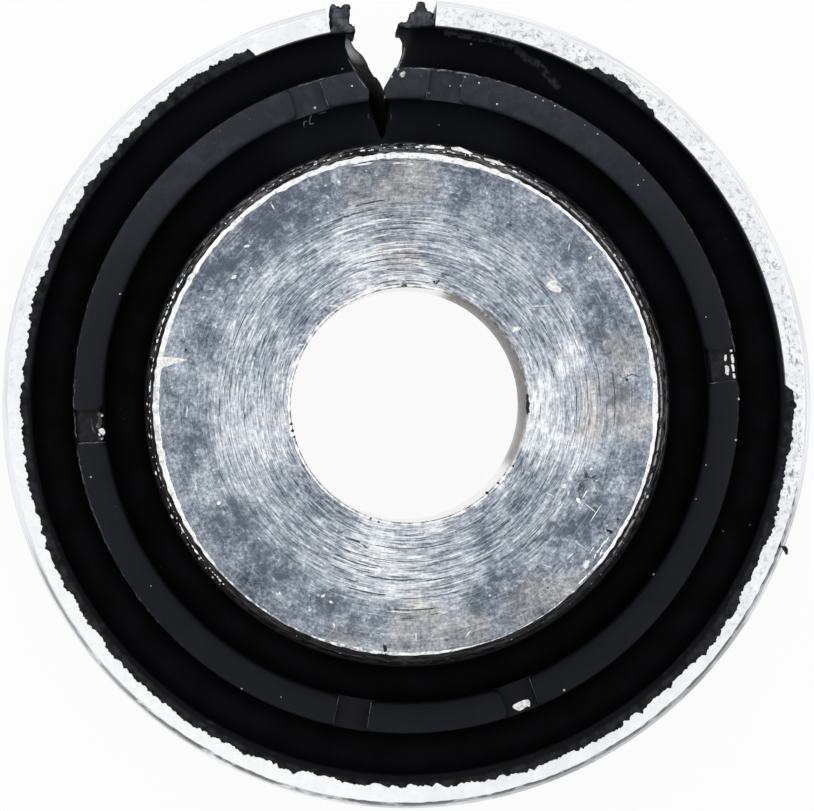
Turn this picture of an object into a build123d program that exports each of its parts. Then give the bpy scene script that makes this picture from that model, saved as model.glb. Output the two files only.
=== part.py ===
from build123d import *

import os
from math import cos, degrees, radians, sin, tan

# Rubber metal bush of a suspension arm, standing on the lower end of its inner sleeve.
# Lengths are in millimetres and angles in degrees. The Z axis is the axis of the bore, and the
# slot in the rubber points along +Y. A bearing is an angle about Z that is counted from the slot,
# anticlockwise seen from above, so the left side of the bush has the positive bearings.

# Inner sleeve, a thick turned tube for a 12 mm bolt. Its outer diameter is stated as a share of
# the diameter of the outer sleeve, so that room for the rubber stays between them.
bore_diameter = 12.1
bore_chamfer = 0.1
inner_diameter_share = 0.6346
inner_chamfer = 0.25
inner_length = 56.0

# Outer sleeve, a thin tube that is open along one side, so that it closes when it is pressed in
outer_diameter = 41.6
outer_wall = 1.35
outer_length = 44.0
outer_gap_angle = 15.9
outer_gap_bearing = -1.9
lead_in_width = 0.3
lead_in_length = 1.2
mouth_chamfer = 0.1

# Interleaf, two half shells of sheet metal, midway between the sleeves inside the rubber
plate_thickness = 1.27
plate_slot_clearance_angle = 6.5
plate_back_clearance_angle = 9.5
plate_edge = 0.1

# Rubber around the interleaf, which stands up between the two grooves as a ring
plate_coat = 0.175
plate_cap = 0.7
ring_setback = 0.5
ring_edge = 0.12

# Rubber skins on the two sleeves, and the grooves between the skins and the ring. The mould was
# shifted towards the slot, so the outer skin is thinnest there.
inner_skin = 0.25
inner_skin_setback = 0.6
thinnest_outer_skin = 0.02
groove_depth = 6.0
groove_rounding_share = 0.4
mould_shift = 0.18

# Film of rubber that ran out over the ends of the outer sleeve
film_root = 0.1
film_width = 0.4
film_thickness = 0.1
film_start_bearing = 18.0
film_span = 249.0

# Notches that the mould's locating lugs left, three over each end of each plate
notch_width = 1.68
notch_reach = 0.9
notch_inset_angle = 5.9
notch_rounding = 0.4

# V-shaped slot, drafted from both ends towards the middle of its length, where these widths
# hold. Its throat lies inside the outer sleeve, and its apex over the middle of the interleaf.
slot_throat_width = 1.98
slot_throat_setback = 1.0
slot_mouth_width = 1.74
slot_apex_rise = 0.17
slot_rounding = 0.2
slot_draft = 1.1
slot_lean = 1.0

# Slit from the apex of the slot down to the skin of the inner sleeve
slit_width = 0.3
slit_root = 0.3

# Ribs of rubber beside the slot, along the two edges of the outer sleeve
rib_setback = 0.1
rib_root = 0.12
left_rib_slot_side = 0.95
right_rib_clearance = 0.08
right_rib_foot = 1.4
right_rib_step = 0.15
right_rib_shoulder = 1.2
right_rib_shoulder_height = 0.6
right_rib_neck = 0.44
right_rib_neck_height = 0.85
right_rib_drop = 0.1

# Places that follow from the sizes above
slot_bearing = 90.0
middle = inner_length / 2
outer_radius = outer_diameter / 2
inner_radius = inner_diameter_share * outer_radius
wall_radius = outer_radius - outer_wall
outer_low = middle - outer_length / 2
outer_high = middle + outer_length / 2
left_edge_bearing = outer_gap_bearing + outer_gap_angle / 2
right_edge_bearing = outer_gap_bearing - outer_gap_angle / 2
mould_centre = (0, mould_shift)
plate_radius = (inner_radius + wall_radius) / 2
plate_span = 180 - plate_slot_clearance_angle - plate_back_clearance_angle
plate_middle_bearing = plate_slot_clearance_angle + plate_span / 2
notch_spread = plate_span / 2 - notch_inset_angle
ring_outer = plate_radius + plate_thickness / 2 + plate_coat
ring_inner = plate_radius - plate_thickness / 2 - plate_coat
ring_length = outer_length - 2 * ring_setback
plate_length = ring_length - 2 * plate_cap
notch_depth = plate_cap + notch_reach
web_length = outer_length - 2 * groove_depth
skin_radius = inner_radius + inner_skin
skin_length = inner_length - 2 * inner_skin_setback
groove_wall = wall_radius - thinnest_outer_skin - mould_shift
groove_width = min(ring_inner - skin_radius, groove_wall - ring_outer) - mould_shift
slot_apex = plate_radius + slot_apex_rise
slot_throat = wall_radius - slot_throat_setback
slot_reach = outer_radius + outer_wall
slit_start = skin_radius + slit_root
rib_length = outer_length - 2 * rib_setback
rib_foot = wall_radius - rib_root
rib_top = outer_radius - rib_setback
right_rib_bearing = right_edge_bearing + degrees((right_rib_foot / 2 + right_rib_clearance) / wall_radius)


def polar(radius, bearing):
    """Point at a radius and a bearing from the slot."""
    turn = radians(slot_bearing + bearing)
    return (radius * cos(turn), radius * sin(turn))


def arc_band(inner, outer, start, span):
    """Face between two radii, over a span of bearings."""
    with BuildSketch() as band:
        with BuildLine():
            CenterArc((0, 0), outer, slot_bearing + start, span)
            CenterArc((0, 0), inner, slot_bearing + start, span)
            Line(polar(inner, start), polar(outer, start))
            Line(polar(inner, start + span), polar(outer, start + span))
        make_face()
    return band.sketch


def symmetric_about_middle(length, centre=(0, 0)):
    """Plane at the lower end of something of this length, centred at half height."""
    return Plane((centre[0], centre[1], middle - length / 2))


# Inner sleeve
with BuildPart() as inner_sleeve:
    with BuildSketch():
        Circle(inner_radius)
        Circle(bore_diameter / 2, mode=Mode.SUBTRACT)
    extrude(amount=inner_length)
    rims = inner_sleeve.edges().filter_by(GeomType.CIRCLE).sort_by(SortBy.RADIUS)
    chamfer(rims[:2], bore_chamfer)
    chamfer(rims[-2:], inner_chamfer)
inner_sleeve.part.label = "inner_sleeve"

# Outer sleeve, with a lead-in at each end and an open side that lies over the slot
with BuildPart() as outer_sleeve:
    with BuildSketch(symmetric_about_middle(outer_length)):
        Circle(outer_radius)
        Circle(wall_radius, mode=Mode.SUBTRACT)
    extrude(amount=outer_length)
    rims = outer_sleeve.edges().filter_by(GeomType.CIRCLE).sort_by(SortBy.RADIUS)
    chamfer(rims[:2], mouth_chamfer)
    for rim in rims[-2:]:
        end_face = outer_sleeve.faces().filter_by(Axis.Z).sort_by_distance(rim.center())[0]
        chamfer(rim, lead_in_width, lead_in_length, reference=end_face)
    with BuildSketch(symmetric_about_middle(outer_length)):
        add(arc_band(wall_radius / 2, 2 * outer_radius, right_edge_bearing, outer_gap_angle))
    extrude(amount=outer_length, mode=Mode.SUBTRACT)
outer_sleeve.part.label = "outer_sleeve"

# Interleaf plates, which sit where the mould held them
plates = {}
for side, sign in (("left", 1), ("right", -1)):
    with BuildPart() as plate:
        with BuildSketch(symmetric_about_middle(plate_length, mould_centre)):
            add(
                arc_band(
                    plate_radius - plate_thickness / 2,
                    plate_radius + plate_thickness / 2,
                    sign * plate_middle_bearing - plate_span / 2,
                    plate_span,
                )
            )
        extrude(amount=plate_length)
        chamfer(plate.edges().filter_by(GeomType.CIRCLE), plate_edge)
    plate.part.label = "interleaf_" + side
    plates[side] = plate.part

# Core of the slot, which leans a little and narrows towards the middle of its length.
# It is centred on the Y axis at the upper end of the outer sleeve.
lean_plane = Plane(
    (tan(radians(slot_lean)) * outer_length / 2, 0, middle),
    x_dir=(cos(radians(slot_lean)), 0, sin(radians(slot_lean))),
    z_dir=(-sin(radians(slot_lean)), 0, cos(radians(slot_lean))),
)
with BuildPart() as slot_core:
    with BuildSketch(lean_plane) as slot_outline:
        with BuildLine():
            Polyline(
                (0, slot_apex),
                (slot_throat_width / 2, slot_throat),
                (slot_mouth_width / 2, slot_reach),
                (-slot_mouth_width / 2, slot_reach),
                (-slot_throat_width / 2, slot_throat),
                close=True,
            )
        make_face()
        fillet(slot_outline.vertices().sort_by(Axis.Y)[:3], slot_rounding)
    extrude(amount=outer_length, both=True, taper=-slot_draft)
    with BuildSketch(lean_plane):
        with Locations((0, slit_start)):
            Rectangle(slit_width, slot_apex + slot_rounding - slit_start, align=(Align.CENTER, Align.MIN))
    extrude(amount=outer_length, both=True)

# Rubber body, moulded onto both sleeves and around the plates
with BuildPart() as rubber_body:
    # Ring over the interleaf, up to the floors of the notches
    with BuildSketch(symmetric_about_middle(ring_length - 2 * notch_depth, mould_centre)):
        Circle(ring_outer)
        Circle(ring_inner, mode=Mode.SUBTRACT)
    extrude(amount=ring_length - 2 * notch_depth)

    # Crests of the ring, with notches where the lugs held the ends of the plates
    for crest_low in (middle - ring_length / 2, middle + ring_length / 2 - notch_depth):
        with BuildSketch(Plane((*mould_centre, crest_low))) as crest:
            Circle(ring_outer)
            Circle(ring_inner, mode=Mode.SUBTRACT)
            for side in (1, -1):
                for step in (-1, 0, 1):
                    bearing = side * (plate_middle_bearing + step * notch_spread)
                    with Locations(Location(polar(plate_radius, bearing), slot_bearing + bearing)):
                        Rectangle(2 * (ring_outer - ring_inner), notch_width, mode=Mode.SUBTRACT)
            fillet(crest.vertices(), notch_rounding)
        extrude(amount=notch_depth)
    ends = rubber_body.faces().filter_by(Axis.Z).group_by(Axis.Z)
    chamfer(ends[0].edges() + ends[-1].edges(), ring_edge)

    # Web between the floors of the grooves
    with BuildSketch(symmetric_about_middle(web_length)):
        Circle(wall_radius)
        Circle(inner_radius, mode=Mode.SUBTRACT)
    extrude(amount=web_length)

    # Skins on the inner and outer sleeve
    with BuildSketch(symmetric_about_middle(skin_length)):
        Circle(skin_radius)
        Circle(inner_radius, mode=Mode.SUBTRACT)
    extrude(amount=skin_length)
    with BuildSketch(symmetric_about_middle(outer_length)):
        Circle(wall_radius)
        with Locations(mould_centre):
            Circle(groove_wall, mode=Mode.SUBTRACT)
    extrude(amount=outer_length)
    circles = rubber_body.edges().filter_by(GeomType.CIRCLE)
    floors = circles.filter_by(lambda edge: abs(abs(edge.center().Z - middle) - web_length / 2) < 0.01)
    fillet(floors, groove_rounding_share * groove_width)

    # Film over each end of the outer sleeve
    for film_low in (outer_low - film_thickness, outer_high):
        with BuildSketch(Plane.XY.offset(film_low)):
            add(arc_band(wall_radius - film_root, wall_radius + film_width, film_start_bearing, film_span))
        extrude(amount=film_thickness)

    # Slot, slit and the pockets of the plates
    add([slot_core.part, *plates.values()], mode=Mode.SUBTRACT)

    # Rib along the left edge of the outer sleeve, a plain bar that stands over the slot
    with BuildSketch(symmetric_about_middle(rib_length)):
        with BuildLine():
            Polyline(
                (-left_rib_slot_side, rib_foot),
                (-left_rib_slot_side, rib_top),
                polar(rib_top, left_edge_bearing),
                polar(wall_radius, left_edge_bearing),
                (polar(wall_radius, left_edge_bearing)[0], rib_foot),
                close=True,
            )
        make_face()
    extrude(amount=rib_length)

    # Rib along the right edge, stepped in to a shoulder, a neck and a small head
    with BuildSketch(symmetric_about_middle(rib_length).rotated((0, 0, right_rib_bearing))):
        with BuildLine():
            steps = [
                (right_rib_foot, rib_foot),
                (right_rib_foot, wall_radius + right_rib_step),
                (right_rib_shoulder, wall_radius + right_rib_step),
                (right_rib_shoulder, wall_radius + right_rib_shoulder_height),
                (right_rib_neck, wall_radius + right_rib_neck_height),
                (right_rib_neck, rib_top - right_rib_drop),
            ]
            right_side = [(width / 2, height) for width, height in steps]
            left_side = [(-x, y) for x, y in reversed(right_side)]
            Polyline(*right_side, *left_side, close=True)
        make_face()
    extrude(amount=rib_length)
rubber_body.part.label = "rubber_body"

os.makedirs("parts", exist_ok=True)
for piece in (inner_sleeve.part, outer_sleeve.part, plates["left"], plates["right"], rubber_body.part):
    export_step(piece, "parts/" + piece.label + ".step")
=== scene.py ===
import math
import random

import bmesh
import bpy
import numpy as np
from mathutils import Matrix, Vector, geometry


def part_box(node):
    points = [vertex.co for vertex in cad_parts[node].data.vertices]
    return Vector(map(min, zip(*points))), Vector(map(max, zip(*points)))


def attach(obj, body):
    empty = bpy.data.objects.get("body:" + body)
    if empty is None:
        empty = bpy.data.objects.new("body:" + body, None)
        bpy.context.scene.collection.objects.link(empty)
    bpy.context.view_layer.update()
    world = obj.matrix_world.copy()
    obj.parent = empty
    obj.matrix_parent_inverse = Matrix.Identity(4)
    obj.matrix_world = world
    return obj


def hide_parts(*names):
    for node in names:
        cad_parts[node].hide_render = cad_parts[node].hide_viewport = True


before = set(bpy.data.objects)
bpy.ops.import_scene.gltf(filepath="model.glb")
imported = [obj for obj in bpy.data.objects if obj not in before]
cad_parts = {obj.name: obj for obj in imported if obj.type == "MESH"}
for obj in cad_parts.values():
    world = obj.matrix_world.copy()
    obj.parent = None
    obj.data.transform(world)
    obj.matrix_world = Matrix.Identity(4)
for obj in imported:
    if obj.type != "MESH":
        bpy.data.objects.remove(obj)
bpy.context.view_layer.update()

# Lengths are in millimetres, as in the part's own drawing, and MM turns them into metres.
# A bearing is an angle in degrees about the bore, counted from the slot (+Y), anticlockwise
# seen from above. A direction is counted from the right of the picture, also anticlockwise.
MM = 0.001


def reach_of(node, end, axis):
    """Lowest (0) or highest (1) place of a CAD node along an axis, in millimetres."""
    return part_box(node)[end][axis] / MM


# Sizes read from the frame
INNER_TOP = reach_of("inner_sleeve", 1, 2)
OUTER_TOP = reach_of("outer_sleeve", 1, 2)
PLATE_TOP = reach_of("interleaf_left", 1, 2)
INNER_RADIUS = reach_of("inner_sleeve", 1, 0)
OUTER_RADIUS = -reach_of("outer_sleeve", 0, 1)
MIDDLE = INNER_TOP / 2

# Inner sleeve, with its burr by direction: inner and outer radius
BORE_RADIUS = 6.03
BORE_SHIFT = (0.07, -0.06)
BORE_CHAMFER = 0.12
RIM_RUN = (
    (0, 12.58, 12.86), (12, 12.62, 12.84), (30, 12.68, 12.82), (60, 12.66, 12.81), (75, 12.54, 12.84),
    (90, 12.6, 12.88), (115, 12.64, 12.89), (135, 12.69, 12.9), (150, 12.7, 12.92), (165, 12.7, 12.97),
    (180, 12.7, 13.02), (195, 12.72, 13.0), (205, 12.75, 12.96), (225, 12.8, 12.89), (245, 12.8, 12.88),
    (262, 12.7, 12.88), (280, 12.76, 12.88), (290, 12.865, 12.87), (306, 12.86, 12.87),
    (313, 12.72, 12.86), (327, 12.68, 12.84), (335, 12.7, 12.84), (350, 12.68, 12.86),
    (360, 12.58, 12.86),
)
RIM_RISE = 0.02
EDGE_DROP = 0.3
FACE_RINGS = 26
INNER_COLUMNS = 900

# Outer sleeve
OUTER_WALL = 1.35
WALL_RADIUS = OUTER_RADIUS - OUTER_WALL
LEFT_EDGE = 6.05
RIGHT_EDGE = 360 - 9.85
LEAD_IN_WIDTH = 0.3
LEAD_IN_LENGTH = 1.2
MOUTH_CHAMFER = 0.08
OUTER_COLUMNS = 1300

# Rubber
MOULD_SHIFT = 0.18
PLATE_RADIUS = (INNER_RADIUS + WALL_RADIUS) / 2
PLATE_THICKNESS = 1.27
PLATE_INSIDE = PLATE_RADIUS - PLATE_THICKNESS / 2
PLATE_OUTSIDE = PLATE_RADIUS + PLATE_THICKNESS / 2
PLATE_SPAN = (6.5, 170.5)
PLATE_EASE = 0.1
COAT = 0.175
RING_OUTER = PLATE_OUTSIDE + COAT
RING_INNER = PLATE_INSIDE - COAT
RING_TOP = OUTER_TOP - 0.5
SKIN_RADIUS = INNER_RADIUS + 0.25
SKIN_TOP = INNER_TOP - 0.6
GROOVE_WALL = WALL_RADIUS - 0.2
GROOVE_FLOOR = OUTER_TOP - 6
GROOVE_ROUND = 0.75
NOTCH_BEARINGS = (12.4, 88.5, 164.6, 195.4, 271.5, 347.6)
NOTCH_HALF = 0.84
NOTCH_BEND = 6.0
NOTCH_DEPTHS = (0.3, 1.6, 0.55, 0.55, 1.6, 0.25)
CORNER_LENGTH = 0.4
CORNER_STEPS = (0.0, 0.02, 0.06, 0.12, 0.2, 0.3, CORNER_LENGTH)
CORNER_INSIDE = 0.3
CORNER_OUTSIDE = 0.2
RING_EDGE_INSIDE = 0.2
RING_EDGE_OUTSIDE = 0.1
COLUMN_STEP = 0.55

# Slot: half widths by radius, at the upper end and low down, then what taper and lean do below
SLOT_LEFT = (
    (15.9, 0.22), (16.36, 0.43), (16.91, 0.74), (17.5, 1.1), (18.1, 1.38), (18.6, 1.52), (18.9, 1.44),
    (19.2, 1.33), (19.5, 1.2),
)
SLOT_LEFT_LOW = (
    (15.9, 0.62), (16.4, 0.6), (16.84, 0.53), (17.46, 0.19), (17.87, 0.03), (18.28, -0.06), (18.5, -0.22),
    (18.64, -0.36), (18.8, -0.6), (19.09, -0.78), (19.5, -0.95),
)
SLOT_RIGHT = (
    (15.9, 0.22), (16.34, 0.41), (16.82, 0.77), (17.4, 1.11), (17.75, 1.28), (18.14, 1.44), (18.5, 1.52),
    (18.68, 1.48), (18.85, 1.38), (18.97, 1.3), (19.13, 1.29), (19.3, 1.38), (19.5, 1.44),
)
SLOT_LEAN = math.tan(math.radians(1.0))
SLOT_LOW = 6.0
SLIT_UPPER = (
    (13.75, 0.0), (13.9, 0.15), (14.4, 0.24), (14.9, 0.42), (15.6, 0.5), (15.9, 0.42), (16.2, 0.2),
)
SLIT_HALF = 0.15
SLIT_START = 13.75
SLIT_NARROW = 36.0
SLOT_SPREAD = 9.0

# View: the camera stands high above the bush, a little to the left, and is turned so that the
# slot points up and slightly left
PICTURE_WIDTH = 814
PICTURE_HEIGHT = 811
PIXELS_PER_MM = 404.5 / OUTER_RADIUS
AXIS_PIXEL = (406.5, 404.0)
CAMERA_HEIGHT = 1600.0
CAMERA_SIDE = -6.4
SENSOR_WIDTH = 36
TURN_DEGREES = 5.5
ROLL = math.radians(TURN_DEGREES)


def from_picture(right, up):
    """Turns a picture direction into the part's own directions."""
    return (
        right * math.cos(ROLL) + up * math.sin(ROLL),
        -right * math.sin(ROLL) + up * math.cos(ROLL),
    )


def place(pixel, height=OUTER_TOP):
    """Point at a height that shows at a pixel of the picture."""
    scale = PIXELS_PER_MM * (CAMERA_HEIGHT - OUTER_TOP) / (CAMERA_HEIGHT - height)
    slide = (height - OUTER_TOP) * CAMERA_SIDE / (CAMERA_HEIGHT - OUTER_TOP)
    x, y = from_picture(
        (pixel[0] - AXIS_PIXEL[0]) / scale + slide,
        (AXIS_PIXEL[1] - pixel[1]) / scale,
    )
    return (x, y, height)


def polar(radius, bearing, height):
    """Point at a radius, a bearing and a height."""
    turn = math.radians(bearing)
    return (-radius * math.sin(turn), radius * math.cos(turn), height)


def shifted(radius, bearing):
    """Radius from the bore's axis of a circle that is centred a little towards the slot."""
    turn = math.radians(bearing)
    return MOULD_SHIFT * math.cos(turn) + math.sqrt(radius**2 - (MOULD_SHIFT * math.sin(turn)) ** 2)


def arc(centre, radius, start, end, steps):
    """Points of an arc in the plane of radius and height, both ends included."""
    turns = [math.radians(start + (end - start) * k / steps) for k in range(steps + 1)]
    return [(centre[0] + radius * math.cos(t), centre[1] + radius * math.sin(t)) for t in turns]


def table(rows, at, column=1):
    """Value of a column of a table at a place between its rows."""
    return float(np.interp(at, [row[0] for row in rows], [row[column] for row in rows]))


def wander(seed, lowest, highest, count):
    """Smooth periodic noise of a bearing, about -1 to 1, from sines of seeded phase."""
    rng = random.Random(seed)
    parts = []
    for _ in range(count):
        parts.append((rng.randint(lowest, highest), rng.uniform(0, 2 * math.pi), rng.uniform(0.4, 1)))
    total = math.sqrt(sum(p[2] ** 2 for p in parts) / 2)

    def value(bearing):
        turn = math.radians(bearing)
        return sum(a * math.sin(n * turn + phase) for n, phase, a in parts) / (2 * total)

    return value


def teeth(seed, step):
    """Jagged noise of a bearing, 0 to 1, with a tooth about every step degrees."""
    rng = random.Random(seed)
    count = round(360 / step)
    heights = [rng.random() ** 2 for _ in range(count)]
    places = [k + rng.uniform(-0.35, 0.35) for k in range(count)]

    def value(bearing):
        along = (bearing % 360) / step
        best = 0.0
        for k in range(int(along) - 1, int(along) + 2):
            gap = abs((along - places[k % count] + count / 2) % count - count / 2)
            best = max(best, heights[k % count] * max(0.0, 1 - 1.3 * gap))
        return best

    return value


def bites(seed, step):
    """Stepped noise of a bearing, 0 to 1, with steps of uneven length."""
    rng = random.Random(seed)
    marks = [0.0]
    while marks[-1] < 360:
        marks.append(marks[-1] + step * rng.uniform(0.35, 1.7))
    levels = [rng.random() for _ in marks]

    def value(bearing):
        k = int(np.searchsorted(marks, bearing % 360, side="right")) - 1
        along = ((bearing % 360) - marks[k]) / (0.3 * step)
        return levels[k - 1] + (levels[k] - levels[k - 1]) * min(1.0, along)

    return value


# Meshes: points of a piece that lie closer than this are welded
WELD = 0.0004


class Heap:
    """Points and faces of one piece, gathered form by form, each face with its material's number."""

    def __init__(self):
        self.points, self.faces, self.kinds = [], [], []

    def add(self, points, faces, kinds=0):
        """Adds a form. Its faces count its own points."""
        start = len(self.points)
        self.points += points
        self.faces += [tuple(start + k for k in face) for face in faces]
        self.kinds += kinds if isinstance(kinds, list) else [kinds] * len(faces)

    def sweep(self, columns, closed=False, cap=None, kind_of=lambda row: 0):
        """Adds the skin between columns that each are a closed loop of as many points."""
        per, count = len(columns[0]), len(columns)
        faces, kinds = [], []
        for i in range(count if closed else count - 1):
            a, b = i * per, (i + 1) % count * per
            for j in range(per):
                k = (j + 1) % per
                faces.append((a + j, a + k, b + k, b + j))
                kinds.append(kind_of(j))
        if cap is not None:
            faces += [tuple(range(per)), tuple(range((count - 1) * per, count * per))]
            kinds += [cap, cap]
        self.add([p for column in columns for p in column], faces, kinds)

    def build(self, name, materials, replaces=None, sharp=30):
        """Makes the piece, welded, with outward normals, and lets it ride the part's one body."""
        mesh = bpy.data.meshes.new(name)
        mesh.from_pydata([tuple(c * MM for c in p) for p in self.points], [], self.faces)
        for material in materials:
            mesh.materials.append(material)
        mesh.polygons.foreach_set("material_index", self.kinds)
        shape = bmesh.new()
        shape.from_mesh(mesh)
        bmesh.ops.remove_doubles(shape, verts=shape.verts, dist=WELD * MM)
        bmesh.ops.dissolve_degenerate(shape, edges=shape.edges, dist=WELD * MM / 4)
        bmesh.ops.recalc_face_normals(shape, faces=shape.faces)
        for face in shape.faces:
            face.smooth = True
        shape.to_mesh(mesh)
        shape.free()
        mesh.set_sharp_from_angle(angle=math.radians(sharp))
        made = bpy.data.objects.new(name, mesh)
        bpy.context.scene.collection.objects.link(made)
        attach(made, "root")
        if replaces:
            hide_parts(replaces)


def mirrored(half):
    """Whole section from its upper half."""
    return half + [(r, INNER_TOP - z) for r, z in reversed(half[1:-1])]


def kinds_along(count, steps):
    """Material of each strip of a mirrored section, by how many strips of its half each one ends at."""

    def kind(row):
        row = min(row, 2 * count - 3 - row)
        return next(kind for limit, kind in steps if row < limit)

    return kind


def fill(outline, step):
    """Triangles inside an outline, with extra points inside it. The outline's points come first."""
    low, high = np.min(outline, 0), np.max(outline, 0)
    rows = [Vector(p) for p in outline]
    edges = [(k, (k + 1) % len(outline)) for k in range(len(outline))]
    margin = 0.45 * min(step)
    for u in np.arange(low[0] + step[0] / 2, high[0], step[0]):
        for v in np.arange(low[1] + step[1] / 2, high[1], step[1]):
            if inside(outline, u, v) and clearance(outline, u, v) > margin:
                rows.append(Vector((u, v)))
    made, _, faces, origin, _, _ = geometry.delaunay_2d_cdt(rows, edges, [], 1, 1e-7)
    index = {k: o[0] for k, o in enumerate(origin) if o}
    flat = [tuple(rows[index[k]]) if k in index else tuple(made[k]) for k in range(len(made))]
    return flat, faces


def inside(outline, u, v):
    """Whether a point lies inside an outline."""
    found = False
    for k in range(len(outline)):
        (au, av), (bu, bv) = outline[k - 1], outline[k]
        if (av > v) != (bv > v) and u < (bu - au) * (v - av) / (bv - av) + au:
            found = not found
    return found


def clearance(outline, u, v):
    """Distance from a point to an outline."""
    ends = np.array(outline)
    starts = np.roll(ends, 1, 0)
    run = ends - starts
    share = ((np.array([u, v]) - starts) * run).sum(1) / np.maximum((run**2).sum(1), 1e-12)
    return np.min(np.hypot(*(starts + run * np.clip(share, 0, 1)[:, None] - np.array([u, v])).T))


# Materials


class Nodes:
    """Node tree of a material or a world, put together by calls."""

    def __init__(self, owner):
        owner.use_nodes = True
        self.tree = owner.node_tree
        self.tree.nodes.clear()

    def put(self, socket, value):
        """Links a socket or sets it."""
        if isinstance(value, bpy.types.NodeSocket):
            self.tree.links.new(value, socket)
        else:
            socket.default_value = value

    def add(self, kind, inputs=(), **settings):
        """Adds a node, with its inputs in order or by name."""
        node = self.tree.nodes.new("ShaderNode" + kind)
        for key, value in settings.items():
            setattr(node, key, value)
        for key, value in inputs.items() if isinstance(inputs, dict) else enumerate(inputs):
            self.put(node.inputs[key], value)
        return node

    def math(self, operation, *values, clamp=False):
        """Result of a sum on one to three values."""
        values += (0.0,) * (3 - len(values))
        return self.add("Math", values, operation=operation, use_clamp=clamp).outputs[0]

    def seen_directly(self):
        """1 for rays from the camera, also by way of a mirror or a clear pane, and 0 for others."""
        path = self.add("LightPath")
        value = path.outputs["Is Camera Ray"]
        for name in ("Is Glossy Ray", "Is Transmission Ray"):
            value = self.add("Math", (value, path.outputs[name]), operation="MAXIMUM").outputs[0]
        return value

    def mix_shaders(self, output, share, first, second):
        """Ends the tree with a mix of two shaders."""
        mixed = self.add("MixShader", (share, first.outputs[0], second.outputs[0]))
        self.add(output, mixed.outputs[:1])


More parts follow.
